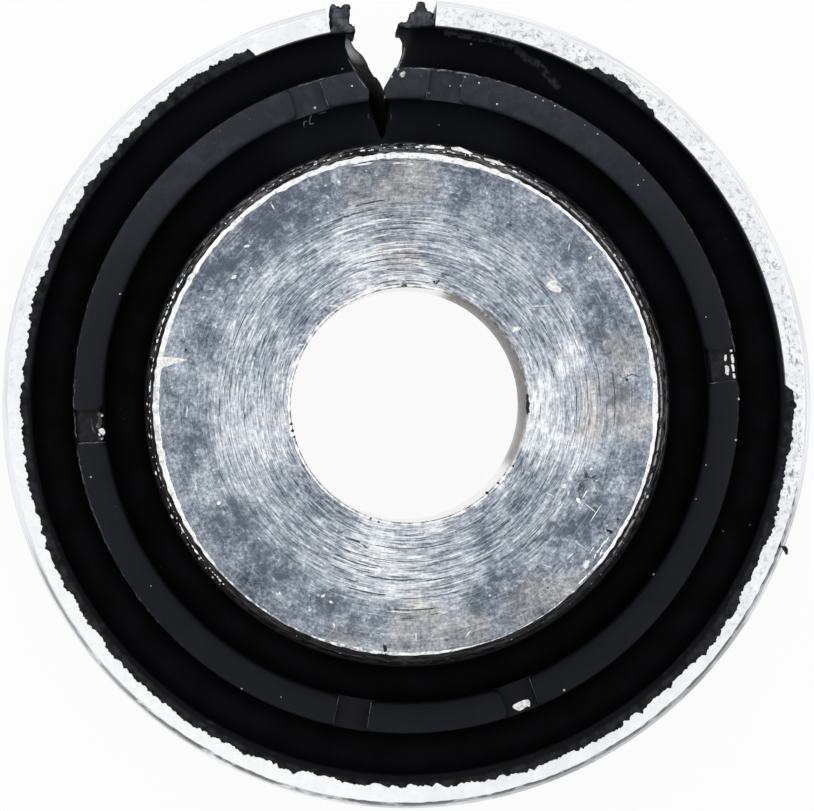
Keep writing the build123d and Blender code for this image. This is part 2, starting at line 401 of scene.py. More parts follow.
class Paint(Nodes):
    """Material with lengths in millimetres. Where it asks for a place, spot is the point itself."""

    def __init__(self, name):
        self.material = bpy.data.materials.new(name)
        super().__init__(self.material)
        self.shader = self.add("BsdfPrincipled")
        self.add("OutputMaterial", self.shader.outputs[:1])
        self.spot = self.vector("SCALE", self.add("TexCoord").outputs["Object"], scale=1 / MM)
        self.x, self.y, self.z = self.add("SeparateXYZ", (self.spot,)).outputs
        self.flat = self.combine(self.x, self.y, 0.0)
        self.radius = self.vector("LENGTH", self.flat)
        self.unit = self.vector("NORMALIZE", self.flat)

    def vector(self, operation, first, second=None, scale=None):
        node = self.add("VectorMath", (first,), operation=operation)
        if second is not None:
            self.put(node.inputs[1], second)
        if scale is not None:
            self.put(node.inputs["Scale"], scale)
        return node.outputs["Value" if operation in ("LENGTH", "DOT_PRODUCT", "DISTANCE") else 0]

    def combine(self, *values):
        return self.add("CombineXYZ", values).outputs[0]

    def times(self, first, *others):
        """Product of values."""
        for value in others:
            first = self.math("MULTIPLY", first, value)
        return first

    def most(self, first, second):
        """Larger one of two values."""
        return self.math("MAXIMUM", first, second)

    def scaled(self, value, factor, shift):
        """Value times a factor, plus a shift."""
        return self.math("MULTIPLY_ADD", value, factor, shift)

    def less(self, value, other):
        return self.math("SUBTRACT", value, other)

    def off(self, value, middle):
        """Distance of a value from a middle one."""
        return self.math("ABSOLUTE", self.less(value, middle))

    def moved(self, *shift):
        """Point that is moved, so that noises differ."""
        return self.vector("ADD", self.spot, shift)

    def stretched(self, *factors):
        """Point with its directions scaled, so that noises are drawn out."""
        return self.vector("MULTIPLY", self.spot, factors)

    def noise(self, where, scale, detail=3.0, roughness=0.5, distortion=0.0):
        inputs = {"Vector": where, "Scale": scale, "Detail": detail, "Roughness": roughness,
                  "Distortion": distortion}
        return self.add("TexNoise", inputs).outputs[0]

    def dots(self, where, scale, low, high):
        """Round dots, one in each cell, that fade between two distances."""
        cells = self.add("TexVoronoi", {"Vector": where, "Scale": scale})
        return self.band(cells.outputs["Distance"], low, high)

    def band(self, value, low, high, out_low=0.0, out_high=1.0):
        """Smooth step of a value from low to high."""
        inputs = (value, low, high, out_low, out_high)
        return self.add("MapRange", inputs, interpolation_type="SMOOTHSTEP").outputs[0]

    def mix(self, factor, first, second, blend="MIX"):
        inputs = {0: factor}
        for key, colour in ((6, first), (7, second)):
            inputs[key] = colour if isinstance(colour, bpy.types.NodeSocket) else (*colour, 1.0)
        return self.add("Mix", inputs, data_type="RGBA", blend_type=blend).outputs[2]

    def layer(self, base, colour, *factors):
        """Lays a colour over another one, by the product of the factors."""
        return self.mix(self.times(*factors), base, colour)

    def ramp(self, value, *stops):
        node = self.add("ValToRGB", (value,))
        while len(node.color_ramp.elements) < len(stops):
            node.color_ramp.elements.new(0.5)
        for element, (position, *colour) in zip(node.color_ramp.elements, stops):
            element.position = position
            element.color = (*colour, 1.0)
        return node.outputs[0]

    def bump(self, height, depth, normal=None):
        """Bump of this depth in millimetres."""
        inputs = {"Height": height, "Distance": depth * MM}
        if normal is not None:
            inputs["Normal"] = normal
        return self.add("Bump", inputs).outputs[0]

    def turned(self, around, across, detail=2.0, roughness=0.5, seed=0.0):
        """Noise that is drawn out around the bore, as turning marks are."""
        ux, uy, _ = self.add("SeparateXYZ", (self.unit,)).outputs
        where = self.combine(
            self.times(ux, around),
            self.times(uy, around),
            self.math("ADD", self.times(self.radius, across), seed),
        )
        return self.noise(where, 1.0, detail, roughness)

    def sector(self, direction, sharpness):
        """1 where a point lies in this direction of the picture, 0 on the other side."""
        turn = math.radians(direction)
        aim = (*from_picture(math.cos(turn), math.sin(turn)), 0.0)
        return self.band(self.vector("DOT_PRODUCT", self.unit, aim), 1 - sharpness, 1.0)

    def wedge(self, direction, sharpness, full=0.4):
        """Sector that is full from early on."""
        return self.band(self.sector(direction, sharpness), 0.0, full)

    def track(self, trail, reach, height):
        """1 along a trail of picture pixels, seen from above, and 0 beyond this reach."""
        value = 0.0
        for first, second in zip(trail, trail[1:]):
            start = Vector((*place(first, height)[:2], 0))
            span = Vector((*place(second, height)[:2], 0)) - start
            gap = self.vector("SUBTRACT", self.flat, start)
            along = self.vector("DOT_PRODUCT", gap, span)
            along = self.math("DIVIDE", along, span.length_squared, clamp=True)
            away = self.vector("DISTANCE", gap, self.vector("SCALE", span, scale=along))
            value = self.most(self.band(away, reach, 0.4 * reach), value)
        return value

    def spots(self, rows, height):
        """1 at spots of the picture, each a pixel and the reach at which it has faded out."""
        value = None
        for pixel, reach in rows:
            gap = self.vector("DISTANCE", self.spot, place(pixel, height))
            spot = self.band(gap, reach * 0.4, reach, 1.0, 0.0)
            value = spot if value is None else self.most(value, spot)
        return value

    def finish(self, colour, roughness=0.5, normal=None, metallic=0.0, specular=0.5):
        sockets = {"Base Color": colour, "Roughness": roughness, "Metallic": metallic,
                   "Specular IOR Level": specular}
        if normal is not None:
            sockets["Normal"] = normal
        for name, value in sockets.items():
            self.put(self.shader.inputs[name], value)
        return self.material


# Worn slate-coloured patches and pale brown stains of the end face: picture pixel and reach
SLATE_PATCHES = (
    ((590, 492), 1.3), ((552, 532), 1.1), ((505, 583), 1.5), ((480, 600), 1.2), ((252, 232), 2.4),
    ((222, 262), 1.9), ((320, 192), 1.7), ((300, 205), 1.5), ((575, 245), 1.5), ((235, 520), 1.8),
    ((275, 565), 1.6), ((600, 300), 1.2), ((613, 395), 0.9), ((596, 335), 1.0), ((205, 330), 1.0),
    ((460, 195), 0.9), ((330, 600), 1.2), ((195, 450), 1.2), ((592, 487), 1.0), ((585, 484), 0.5),
    ((578, 518), 1.1), ((563, 528), 0.9),
)
BROWN_STAINS = (
    ((604, 400), 2.0), ((626, 350), 1.5), ((632, 420), 1.5), ((545, 610), 2.6), ((575, 590), 1.4),
    ((420, 632), 2.4), ((470, 636), 1.8), ((375, 182), 2.2), ((410, 178), 2.0), ((505, 400), 1.0),
    ((590, 430), 1.0), ((400, 250), 1.6), ((345, 640), 1.2),
)


def paint_turned_end():
    """Turned aluminium end face with arcs, scratches, pits and pale brown stains."""
    p = Paint("turned_end_face")
    ripple = p.times(p.less(p.noise(p.spot, 0.5, 3.0, 0.6), 0.5), 3.0)
    inner = p.band(p.math("ADD", p.radius, ripple), 10.9, 9.3)
    streak = p.turned(6.5, 8.5, 3.0, 0.65, 3.0)
    patch = p.noise(p.spot, 0.33, 5.0, 0.62, 0.3)
    mottle = p.noise(p.spot, 1.9, 6.0, 0.74, 0.5)
    look = p.scaled(inner, 0.14, 0.39)
    for value, weight in (
        (streak, p.scaled(inner, 0.85, 0.35)),
        (p.turned(13.0, 19.0, 2.0, 0.55, 7.0), p.scaled(inner, 0.75, 0.2)),
        (patch, 1.0),
        (mottle, p.scaled(inner, -0.5, 1.15)),
        (p.noise(p.spot, 5.5, 3.0, 0.75), p.scaled(inner, -0.2, 1.0)),
    ):
        look = p.scaled(p.less(value, 0.5), weight, look)
    # Painted sheen: brighter sectors where the turned marks catch the light, and less bright ones between
    # them
    sides = p.most(p.sector(2, 0.12), p.sector(188, 0.22))
    ends = p.most(p.times(p.sector(270, 0.12), 1.5), p.times(p.sector(95, 0.12), 0.6))
    look = p.scaled(p.times(p.most(sides, ends), p.scaled(inner, 0.5, 0.5)), 0.17, look)
    base = p.ramp(look, (0.0, 0.035, 0.045, 0.06), (0.25, 0.125, 0.15, 0.19), (0.5, 0.29, 0.33, 0.385),
                  (0.75, 0.58, 0.62, 0.68), (1.0, 0.95, 0.96, 0.98))
    slate = p.times(p.spots(SLATE_PATCHES, INNER_TOP), p.band(mottle, 0.68, 0.4))
    base = p.layer(base, (0.1, 0.125, 0.16), slate, 0.85)
    stain = p.times(p.spots(BROWN_STAINS, INNER_TOP), p.band(patch, 0.28, 0.55))
    base = p.mix(p.times(stain, 0.8), base, (1.0, 0.92, 0.84), "MULTIPLY")
    base = p.layer(base, (0.5, 0.46, 0.42), stain, 0.16)
    # Strokes of the tool, strong at the top and the bottom of the picture
    heavy = p.scaled(p.times(p.most(p.sector(266, 0.16), p.sector(95, 0.16)), inner), 0.65, 0.12)
    stroke = p.turned(3.4, 11.0, 2.0, 0.5, 11.0)
    base = p.layer(base, (0.075, 0.07, 0.065), p.band(stroke, 0.42, 0.34), heavy)
    base = p.layer(base, (0.95, 0.95, 0.94), p.band(stroke, 0.6, 0.67), heavy)
    # Curly nicks, dots and pits
    gate = p.noise(p.spot, 0.8, 2.0, 0.5)
    worm = p.noise(p.moved(7.0, 3.0, 0.0), 1.5, 2.0, 0.6)
    crumbs = p.noise(p.moved(2.0, 8.0, 0.0), 3.6, 1.0, 0.5)
    line = p.times(p.band(p.off(worm, 0.5), 0.02, 0.007), p.band(crumbs, 0.52, 0.6))
    base = p.layer(base, (0.85, 0.87, 0.9), line, p.band(gate, 0.5, 0.62), 0.25)
    base = p.layer(base, (0.09, 0.095, 0.11), line, p.band(gate, 0.48, 0.38), 0.3)
    dots = p.dots(p.moved(4.0, 1.0, 0.0), 1.9, 0.16, 0.07)
    base = p.layer(base, (0.8, 0.83, 0.86), dots, p.band(crumbs, 0.5, 0.62), 0.7)
    pits = p.dots(p.spot, 2.6, 0.12, 0.05)
    base = p.layer(base, (0.04, 0.045, 0.05), pits, p.band(mottle, 0.5, 0.6), 0.8)
    normal = p.bump(mottle, 0.05, p.bump(streak, 0.05))
    return p.finish(base, p.band(look, 0.3, 0.7, 0.5, 0.3), normal, 1.0)


def paint_rim():
    """Bright burr where the end face was faced off, with painted shade towards the bottom of the picture
    and, fainter, on its left.
    """
    p = Paint("bright_burr")
    uneven = p.noise(p.spot, 3.0, 3.0, 0.6)
    base = p.mix(p.band(uneven, 0.35, 0.6), (0.8, 0.81, 0.82), (1.0, 1.0, 1.0))
    broken = p.band(p.noise(p.spot, 4.5, 3.0, 0.7), 0.44, 0.36)
    base = p.layer(base, (0.3, 0.31, 0.33), broken, 0.7)
    # Painted shade: darker sectors of the burr towards the bottom of the picture, fainter on the left
    shaded_side = p.most(p.most(p.wedge(243, 0.12), p.wedge(304, 0.05)), p.times(p.sector(180, 0.04), 0.4))
    base = p.layer(base, (0.22, 0.23, 0.25), shaded_side, p.band(uneven, 0.62, 0.45), 0.85)
    return p.finish(base, 0.3, p.bump(uneven, 0.01), 1.0)


def paint_smeared_edge():
    """Edge of the tube under a black smear of rubber, with some metal showing through and a painted
    highlight on its right side.
    """
    p = Paint("smeared_edge")
    dashes = p.turned(26.0, 16.0, 2.0, 0.6, 1.0)
    rows = p.turned(6.0, 7.0, 2.0, 0.5, 5.0)
    upper = p.band(p.sector(105, 0.5), 0.2, 0.8)
    grey = p.times(p.band(dashes, 0.42, 0.56), p.band(rows, 0.38, 0.52), p.scaled(upper, 0.6, 0.2))
    base = p.mix(grey, (0.004, 0.004, 0.005), (0.19, 0.19, 0.195))
    # Painted highlight: a broken grey line along the rounded edge on the right side
    broken = p.band(p.turned(40.0, 6.0, 2.0, 0.6, 9.0), 0.4, 0.52)
    row = p.times(p.band(p.off(p.radius, 13.04), 0.07, 0.02), broken)
    base = p.layer(base, (0.42, 0.42, 0.43), row, p.wedge(15, 0.5, 0.3), 0.8)
    return p.finish(base, 0.5, p.bump(dashes, 0.03), p.band(grey, 0.3, 0.7), 0.08)


def paint_bore():
    """Drawn wall of the bore, bright, and on its right side painted darker as shade, lighter towards the
    lower right, with brown marks.
    """
    p = Paint("bore_wall")
    drawn = p.noise(p.stretched(5.0, 5.0, 0.3), 1.0, 4.0, 0.65)
    patch = p.noise(p.spot, 0.5, 4.0, 0.6)
    # Painted shade: the darker colour of the wall's right side, lighter towards the lower right
    shaded_side = p.ramp(drawn, (0.3, 0.13, 0.125, 0.115), (0.5, 0.33, 0.32, 0.3), (0.7, 0.66, 0.65, 0.63))
    shaded_side = p.layer(shaded_side, (0.2, 0.18, 0.15), p.band(patch, 0.5, 0.65), 0.7)
    shaded_side = p.layer(shaded_side, (0.78, 0.77, 0.75), p.sector(330, 0.16), 0.7)
    side = p.wedge(20, 0.5, 0.35)
    base = p.mix(side, (0.97, 0.97, 0.97), shaded_side)
    return p.finish(base, p.scaled(side, 0.38, 0.12), p.bump(drawn, 0.03), 1.0)


def paint_tube():
    """Plain satin aluminium of the tube walls, with faint rings and stains."""
    p = Paint("satin_tube")
    rings = p.noise(p.stretched(0.15, 0.15, 9.0), 1.0, 3.0, 0.6)
    patch = p.noise(p.spot, 0.25, 4.0, 0.6)
    scratch = p.noise(p.stretched(3.0, 3.0, 0.3), 1.0, 2.0, 0.5)
    look = p.math("ADD", p.times(rings, 0.5), p.times(patch, 0.5))
    base = p.ramp(look, (0.35, 0.6, 0.61, 0.63), (0.5, 0.69, 0.7, 0.72), (0.65, 0.78, 0.79, 0.81))
    base = p.layer(base, (0.92, 0.92, 0.93), p.band(scratch, 0.7, 0.78), 0.25)
    return p.finish(base, p.band(patch, 0.3, 0.7, 0.32, 0.5), p.bump(rings, 0.01), 1.0)


def paint_outer_face():
    """Sawn end face of the outer sleeve, near white, with worn marks on its right side."""
    p = Paint("outer_end_face")
    cloud = p.noise(p.spot, 0.9, 4.0, 0.6)
    grain = p.noise(p.spot, 3.2, 4.0, 0.65)
    right = p.most(p.sector(15, 0.55), p.sector(68, 0.3))
    worn_side = p.most(right, p.times(p.sector(150, 0.25), 0.4))
    base = p.mix(p.band(cloud, 0.35, 0.65), (0.84, 0.85, 0.88), (0.93, 0.935, 0.955))
    base = p.layer(base, (0.96, 0.96, 0.98), p.sector(225, 0.6), 0.6)
    base = p.layer(base, (0.5, 0.51, 0.56), p.band(grain, 0.5, 0.66), p.scaled(worn_side, 0.7, 0.1))
    # Clusters of dashes along the middle of the wall, and short dark marks
    dash = p.band(p.turned(45.0, 4.5, 3.0, 0.65, 4.0), 0.52, 0.64)
    ring = p.times(dash, p.band(p.off(p.radius, 20.05), 0.34, 0.12), p.band(cloud, 0.4, 0.56))
    ring = p.times(ring, p.scaled(p.sector(0, 0.1), 0.35, 0.5))
    worm = p.noise(p.spot, 2.0, 2.0, 0.6, 0.6)
    speck = p.noise(p.moved(3.0, 9.0, 0.0), 7.0, 2.0, 0.6)
    spread = p.noise(p.moved(1.0, 2.0, 0.0), 0.45, 2.0, 0.5)
    marks = p.times(p.band(p.off(worm, 0.5), 0.03, 0.008), p.band(speck, 0.52, 0.62),
                    p.band(spread, 0.46, 0.58), 0.8)
    worn = p.times(p.most(ring, marks), p.scaled(right, 0.92, 0.03))
    base = p.layer(base, (0.12, 0.125, 0.14), worn)
    return p.finish(base, 0.5, p.bump(p.less(1.0, worn), 0.02, p.bump(grain, 0.015)), 1.0)


def paint_lead_in():
    """Turned lead-in of the outer sleeve, with painted shade along its inner edge and over it at the
    bottom of the picture.
    """
    p = Paint("lead_in")
    rings = p.noise(p.stretched(0.2, 0.2, 5.0), 1.0, 2.0, 0.5)
    patch = p.noise(p.spot, 0.4, 3.0, 0.6)
    broken = p.turned(9.0, 1.5, 3.0, 0.7, 2.0)
    fall = p.math("DIVIDE", p.less(OUTER_TOP - MIDDLE, p.off(p.z, MIDDLE)), LEAD_IN_LENGTH)
    base = p.ramp(rings, (0.35, 0.7, 0.72, 0.76), (0.5, 0.86, 0.87, 0.9), (0.62, 0.95, 0.955, 0.97))
    clean = p.times(p.band(fall, 0.45, 0.7), p.band(patch, 0.62, 0.5))
    # Painted shade: darker over the lower side of the picture, with a dark broken line at the lower left
    lower = p.times(p.wedge(300, 0.4, 0.35), p.band(patch, 0.28, 0.5), p.scaled(clean, -0.75, 1.0))
    base = p.layer(base, (0.27, 0.29, 0.32), lower, 0.8)
    base = p.layer(base, (0.14, 0.155, 0.18), p.wedge(302, 0.06), 0.35)
    line = p.times(p.band(p.off(fall, 0.45), 0.4, 0.12), p.wedge(238, 0.26), p.band(broken, 0.36, 0.5))
    base = p.layer(base, (0.1, 0.11, 0.13), line, 0.75)
    # Painted shade: a near-black edge at the bottom of the picture
    edge = p.band(p.most(p.sector(258, 0.2), p.times(p.sector(312, 0.3), 0.7)), 0.0, 0.3)
    edge = p.times(edge, p.band(broken, 0.42, 0.52), p.band(fall, 0.6, 0.3))
    base = p.layer(base, (0.012, 0.014, 0.018), edge, 0.92)
    return p.finish(base, 0.38, p.bump(rings, 0.01), 1.0)


# Paler streaks across the outer groove: trail of picture pixels and reach
GROOVE_STREAK = (
    (((447, 33), (496, 41), (515, 48)), 0.22),
    (((515, 48), (527, 59), (538, 63.5), (547, 75), (557, 86)), 0.25),
    (((497, 35), (506, 42), (515, 46)), 0.18),
)


def paint_rubber():
    """Matt moulded rubber, cloudy in tone, with painted light that makes the grooves and the ring's crest
    greyer towards the slot, and a little dust.
    """
    p = Paint("moulded_rubber")
    bloom = p.noise(p.spot, 0.5, 4.0, 0.6)
    grain = p.noise(p.spot, 12.0, 3.0, 0.7)
    away = p.off(p.z, MIDDLE)
    crest = p.times(p.band(away, PLATE_TOP - 0.4 - MIDDLE, PLATE_TOP - MIDDLE),
                    p.band(away, OUTER_TOP + 0.8 - MIDDLE, OUTER_TOP + 0.2 - MIDDLE),
                    p.band(p.radius, 18.4, 18.0))
    low = p.mix(p.band(bloom, 0.35, 0.7), (0.0062, 0.0066, 0.0082), (0.0098, 0.0102, 0.0125))
    # Painted light: the grooves get lighter towards the slot (+Y), the upper side of the picture
    low = p.layer(low, (0.014, 0.0145, 0.019), p.band(p.y, 9.0, 17.0))
    low = p.layer(low, (0.027, 0.028, 0.037), p.wedge(92, 0.14, 0.6), p.band(p.radius, 16.5, 15.5))
    # Painted light: the ring's crest gets lighter towards the slot, and its scuffs show only on that side
    high = p.mix(p.band(p.y, -14.0, 18.0), (0.0045, 0.005, 0.0085), (0.0135, 0.014, 0.019))
    high = p.layer(high, (0.0235, 0.0262, 0.0345), p.band(p.y, 7.0, 14.0))
    scuff_and_sheen = p.band(p.noise(p.spot, 1.1, 4.0, 0.7, 1.0), 0.42, 0.66)
    high = p.layer(high, (0.042, 0.047, 0.06), scuff_and_sheen, p.band(p.y, 8.0, 14.0), 0.6)
    fine = p.times(p.dots(p.spot, 3.2, 0.12, 0.05), p.band(grain, 0.48, 0.6))
    high = p.layer(high, (0.16, 0.165, 0.17), fine, p.band(p.y, 9.0, 14.0))
    base = p.mix(crest, low, high)
    base = p.layer(base, (0.02, 0.02, 0.025), p.band(grain, 0.56, 0.75), p.scaled(crest, 0.6, 0.2))
    base = p.layer(base, (0.1, 0.1, 0.1), p.dots(p.spot, 1.1, 0.05, 0.02), p.band(bloom, 0.5, 0.6))
    # Black skin on the inner tube, with its inner edge smeared by the cut
    skin = p.band(away, OUTER_TOP + 1 - MIDDLE, OUTER_TOP + 2 - MIDDLE)
    base = p.layer(base, (0.0018, 0.0018, 0.0022), skin)
    smear = p.times(p.band(p.radius, SKIN_RADIUS - 0.05, SKIN_RADIUS - 0.12),
                    p.band(away, SKIN_TOP - 0.1 - MIDDLE, SKIN_TOP - 0.02 - MIDDLE),
                    p.band(p.turned(22.0, 14.0, 2.0, 0.6, 6.0), 0.47, 0.56))
    around = p.most(p.sector(110, 0.7), p.times(p.sector(10, 0.3), 0.8))
    base = p.layer(base, (0.12, 0.12, 0.125), smear, p.scaled(around, 0.8, 0.15))
    # Painted light on the groove's floor along the slot's right edge
    beside = p.band(p.less(p.x, p.scaled(p.y, 0.38, -5.4)), 0.5, 0.0)
    beside = p.times(beside, p.times(p.band(p.y, 17.2, 17.6), p.band(p.x, 0.9, 1.1)))
    beside = p.times(beside, p.band(p.z, GROOVE_FLOOR + 1.5, GROOVE_FLOOR + 0.5))
    base = p.layer(base, (0.16, 0.16, 0.165), beside, 0.3)
    # Paler streak across the outer groove
    streak = 0.0
    for trail, reach in GROOVE_STREAK:
        streak = p.most(p.track(trail, reach, GROOVE_FLOOR), streak)
    streak = p.times(streak, p.band(p.noise(p.spot, 3.0, 3.0, 0.7), 0.36, 0.6),
                     p.band(p.radius, RING_OUTER + 0.1, RING_OUTER + 0.3))
    base = p.layer(base, (0.14, 0.142, 0.152), streak, 0.8)
    normal = p.bump(bloom, 0.03, p.bump(grain, 0.012))
    return p.finish(base, p.band(bloom, 0.3, 0.7, 0.62, 0.5), normal, specular=p.scaled(crest, 0.1, 0.06))


def paint_slot_wall():
    """Rubber of the slot's walls, with a near-white painted reflection where the left wall opens out."""
    p = Paint("slot_wall_rubber")
    cloud = p.noise(p.spot, 1.6, 4.0, 0.65)
    drag = p.noise(p.stretched(4.0, 4.0, 0.5), 1.0, 3.0, 0.6)
    # Painted reflection: near white on the left wall where it opens out
    pale = p.times(p.band(p.y, 17.7, 18.5), p.band(p.z, 10.0, 40.0), p.band(p.x, 0.3, -0.2),
                   p.band(cloud, 0.22, 0.48), p.band(drag, 0.22, 0.46))
    streak = p.times(p.band(p.y, 16.4, 17.6), p.band(p.z, 8.0, 30.0), p.band(drag, 0.5, 0.62))
    base = p.mix(p.band(drag, 0.4, 0.65), (0.002, 0.002, 0.003), (0.007, 0.007, 0.009))
    base = p.layer(base, (0.12, 0.12, 0.125), streak, 0.5)
    base = p.layer(base, (0.97, 0.97, 0.98), pale)
    # Painted shade: darker towards the narrow inner part of the slot
    base = p.layer(base, (0.0012, 0.0012, 0.0016), p.band(p.y, 17.0, 16.5))
    return p.finish(base, 0.8, p.bump(drag, 0.04), specular=0.03)


def paint_film():
    """Thin run-out film, greyer than the body, with fine streaks."""
    p = Paint("rubber_film")
    lump = p.noise(p.spot, 1.8, 4.0, 0.65)
    base = p.mix(p.band(lump, 0.35, 0.65), (0.004, 0.0042, 0.0055), (0.024, 0.0245, 0.029))
    base = p.layer(base, (0.003, 0.003, 0.004), p.band(p.radius, WALL_RADIUS + 0.12, WALL_RADIUS - 0.1))
    base = p.layer(base, (0.035, 0.036, 0.042), p.band(p.turned(22.0, 2.0, 3.0, 0.6), 0.6, 0.74), 0.5)
    return p.finish(base, 0.6, p.bump(lump, 0.04), specular=0.08)


def paint_torn():
    """Torn rubber of the ribs, grey and cloudy."""
    p = Paint("torn_rubber")
    cloud = p.noise(p.spot, 2.2, 4.0, 0.65)
    grain = p.noise(p.spot, 9.0, 3.0, 0.7)
    base = p.ramp(cloud, (0.34, 0.02, 0.021, 0.025), (0.5, 0.05, 0.053, 0.064), (0.66, 0.12, 0.125, 0.15))
    base = p.layer(base, (0.2, 0.205, 0.23), p.band(grain, 0.6, 0.72), 0.5)
    return p.finish(base, 0.6, p.bump(cloud, 0.06), specular=0.1)


def paint_cloudy(name, scale, detail, stops, roughness, specular, depth):
    """Rubber or coat in three cloudy tones."""
    p = Paint(name)
    cloud = p.noise(p.spot, scale, detail, 0.65 if detail > 3 else 0.6)
    return p.finish(p.ramp(cloud, *stops), roughness, p.bump(cloud, depth), specular=specular)


def paint_pale_rubber():
    """Pale grey of the thin ridges that are painted highlights, and of the rubbed coat."""
    stops = ((0.35, 0.03, 0.031, 0.034), (0.52, 0.12, 0.125, 0.13), (0.66, 0.3, 0.3, 0.3))
    return paint_cloudy("pale_glint_and_rubbed_coat", 3.0, 3.0, stops, 0.6, 0.2, 0.02)


def paint_pale_scar_and_glint():
    """Pale rubber of torn scars, and of the ridges along the slot's lips that are painted highlights."""
    stops = ((0.35, 0.3, 0.3, 0.31), (0.55, 0.65, 0.65, 0.66), (0.68, 0.95, 0.95, 0.96))
    return paint_cloudy("pale_scar_and_glint_rubber", 2.5, 3.0, stops, 0.7, 0.15, 0.02)


def paint_coat():
    """Black bonding coat on the interleaf, rubbed grey in places."""
    stops = ((0.35, 0.011, 0.0105, 0.012), (0.55, 0.021, 0.0198, 0.0225), (0.72, 0.048, 0.045, 0.048))
    return paint_cloudy("bonding_coat", 2.6, 4.0, stops, 0.5, 0.15, 0.03)


def paint_bare():
    """Bare bright metal of chips and scratches."""
    p = Paint("bare_metal")
    grain = p.noise(p.spot, 6.0, 3.0, 0.6)
    base = p.mix(p.band(grain, 0.35, 0.65), (0.62, 0.62, 0.62), (0.98, 0.98, 0.98))
    return p.finish(base, 0.4, p.bump(grain, 0.02), 1.0)


def paint_light_stroke():
    """Freshly cut metal of a tool mark."""
    p = Paint("light_tool_mark")
    worn = p.turned(9.0, 6.0, 2.0, 0.6, 2.0)
    base = p.ramp(worn, (0.35, 0.42, 0.46, 0.51), (0.5, 0.7, 0.73, 0.77), (0.62, 0.93, 0.94, 0.95))
    base = p.layer(base, (0.35, 0.38, 0.42), p.band(p.noise(p.spot, 5.0, 2.0, 0.6), 0.45, 0.3))
    return p.finish(base, 0.4, metallic=1.0)


def paint_dark_stroke():
    """Dirt that fills a tool mark."""
    p = Paint("dark_tool_mark")
    worn = p.turned(9.0, 6.0, 2.0, 0.6, 4.0)
    base = p.ramp(worn, (0.36, 0.035, 0.035, 0.036), (0.5, 0.09, 0.095, 0.105), (0.64, 0.22, 0.24, 0.27))
    base = p.layer(base, (0.26, 0.29, 0.33), p.band(p.noise(p.spot, 5.0, 2.0, 0.6), 0.5, 0.65))
    return p.finish(base, 0.5, metallic=0.8)


def paint_grainy(name, dark, light, roughness):
    """Dust or dirt."""
    p = Paint(name)
    grain = p.band(p.noise(p.spot, 8.0, 2.0, 0.5), 0.35, 0.65)
    return p.finish(p.mix(grain, dark, light), roughness, specular=0.2)


# Sleeves


def build_inner_sleeve(materials):
    """Thick tube with a faced end, a bright uneven burr and a bore mouth that is chipped."""
    edge_in, edge_out, mouth = wander(3, 6, 60, 26), wander(4, 20, 150, 30), wander(5, 8, 90, 24)
    chips = teeth(6, 2.0)
    columns = []
    for i in range(INNER_COLUMNS):
        bearing = 360 * i / INNER_COLUMNS
        turn = math.radians(bearing)
        bore = BORE_RADIUS + (-math.sin(turn) * BORE_SHIFT[0] + math.cos(turn) * BORE_SHIFT[1])
        lip = bore + BORE_CHAMFER + 0.02 * mouth(bearing) + 0.05 * chips(bearing)
        direction = (bearing + 90 + math.degrees(ROLL)) % 360
        rim_in, rim_out = table(RIM_RUN, direction), table(RIM_RUN, direction, 2)
        loose = min(1.0, (rim_out - rim_in) / 0.2)
        rim_in += loose * (0.03 * edge_in(bearing) + 0.025 * edge_out(bearing))
        rim_out += loose * 0.035 * edge_out(bearing + 40)
        half = [(bore, z) for z in (MIDDLE, INNER_TOP - 12, INNER_TOP - 4, INNER_TOP - BORE_CHAMFER)]
        half += [(bore + 0.4 * (lip - bore), INNER_TOP - 0.45 * BORE_CHAMFER), (lip, INNER_TOP)]
        half += [(lip + (rim_in - lip) * k / FACE_RINGS, INNER_TOP) for k in range(1, FACE_RINGS)]
        half += [(rim_in, INNER_TOP), (rim_in + 0.03, INNER_TOP + RIM_RISE)]
        half += [((rim_in + rim_out) / 2, INNER_TOP + 0.6 * RIM_RISE), (rim_out - 0.02, INNER_TOP - 0.01)]
        half.append((rim_out, INNER_TOP - 0.03))
        half.append(((rim_out + INNER_RADIUS) / 2, INNER_TOP - 0.5 * EDGE_DROP + 0.02))
        half += [(INNER_RADIUS, z) for z in (INNER_TOP - EDGE_DROP, SKIN_TOP - 0.3, MIDDLE)]
        columns.append([polar(r, bearing, z) for r, z in mirrored(half)])
    # Bore, face, burr, smeared edge and tube wall
    steps = ((5, 1), (5 + FACE_RINGS, 0), (9 + FACE_RINGS, 2), (11 + FACE_RINGS, 3), (math.inf, 4))
    heap = Heap()
    heap.sweep(columns, closed=True, kind_of=kinds_along(len(half), steps))
    heap.build("inner_sleeve_turned", materials, "inner_sleeve")


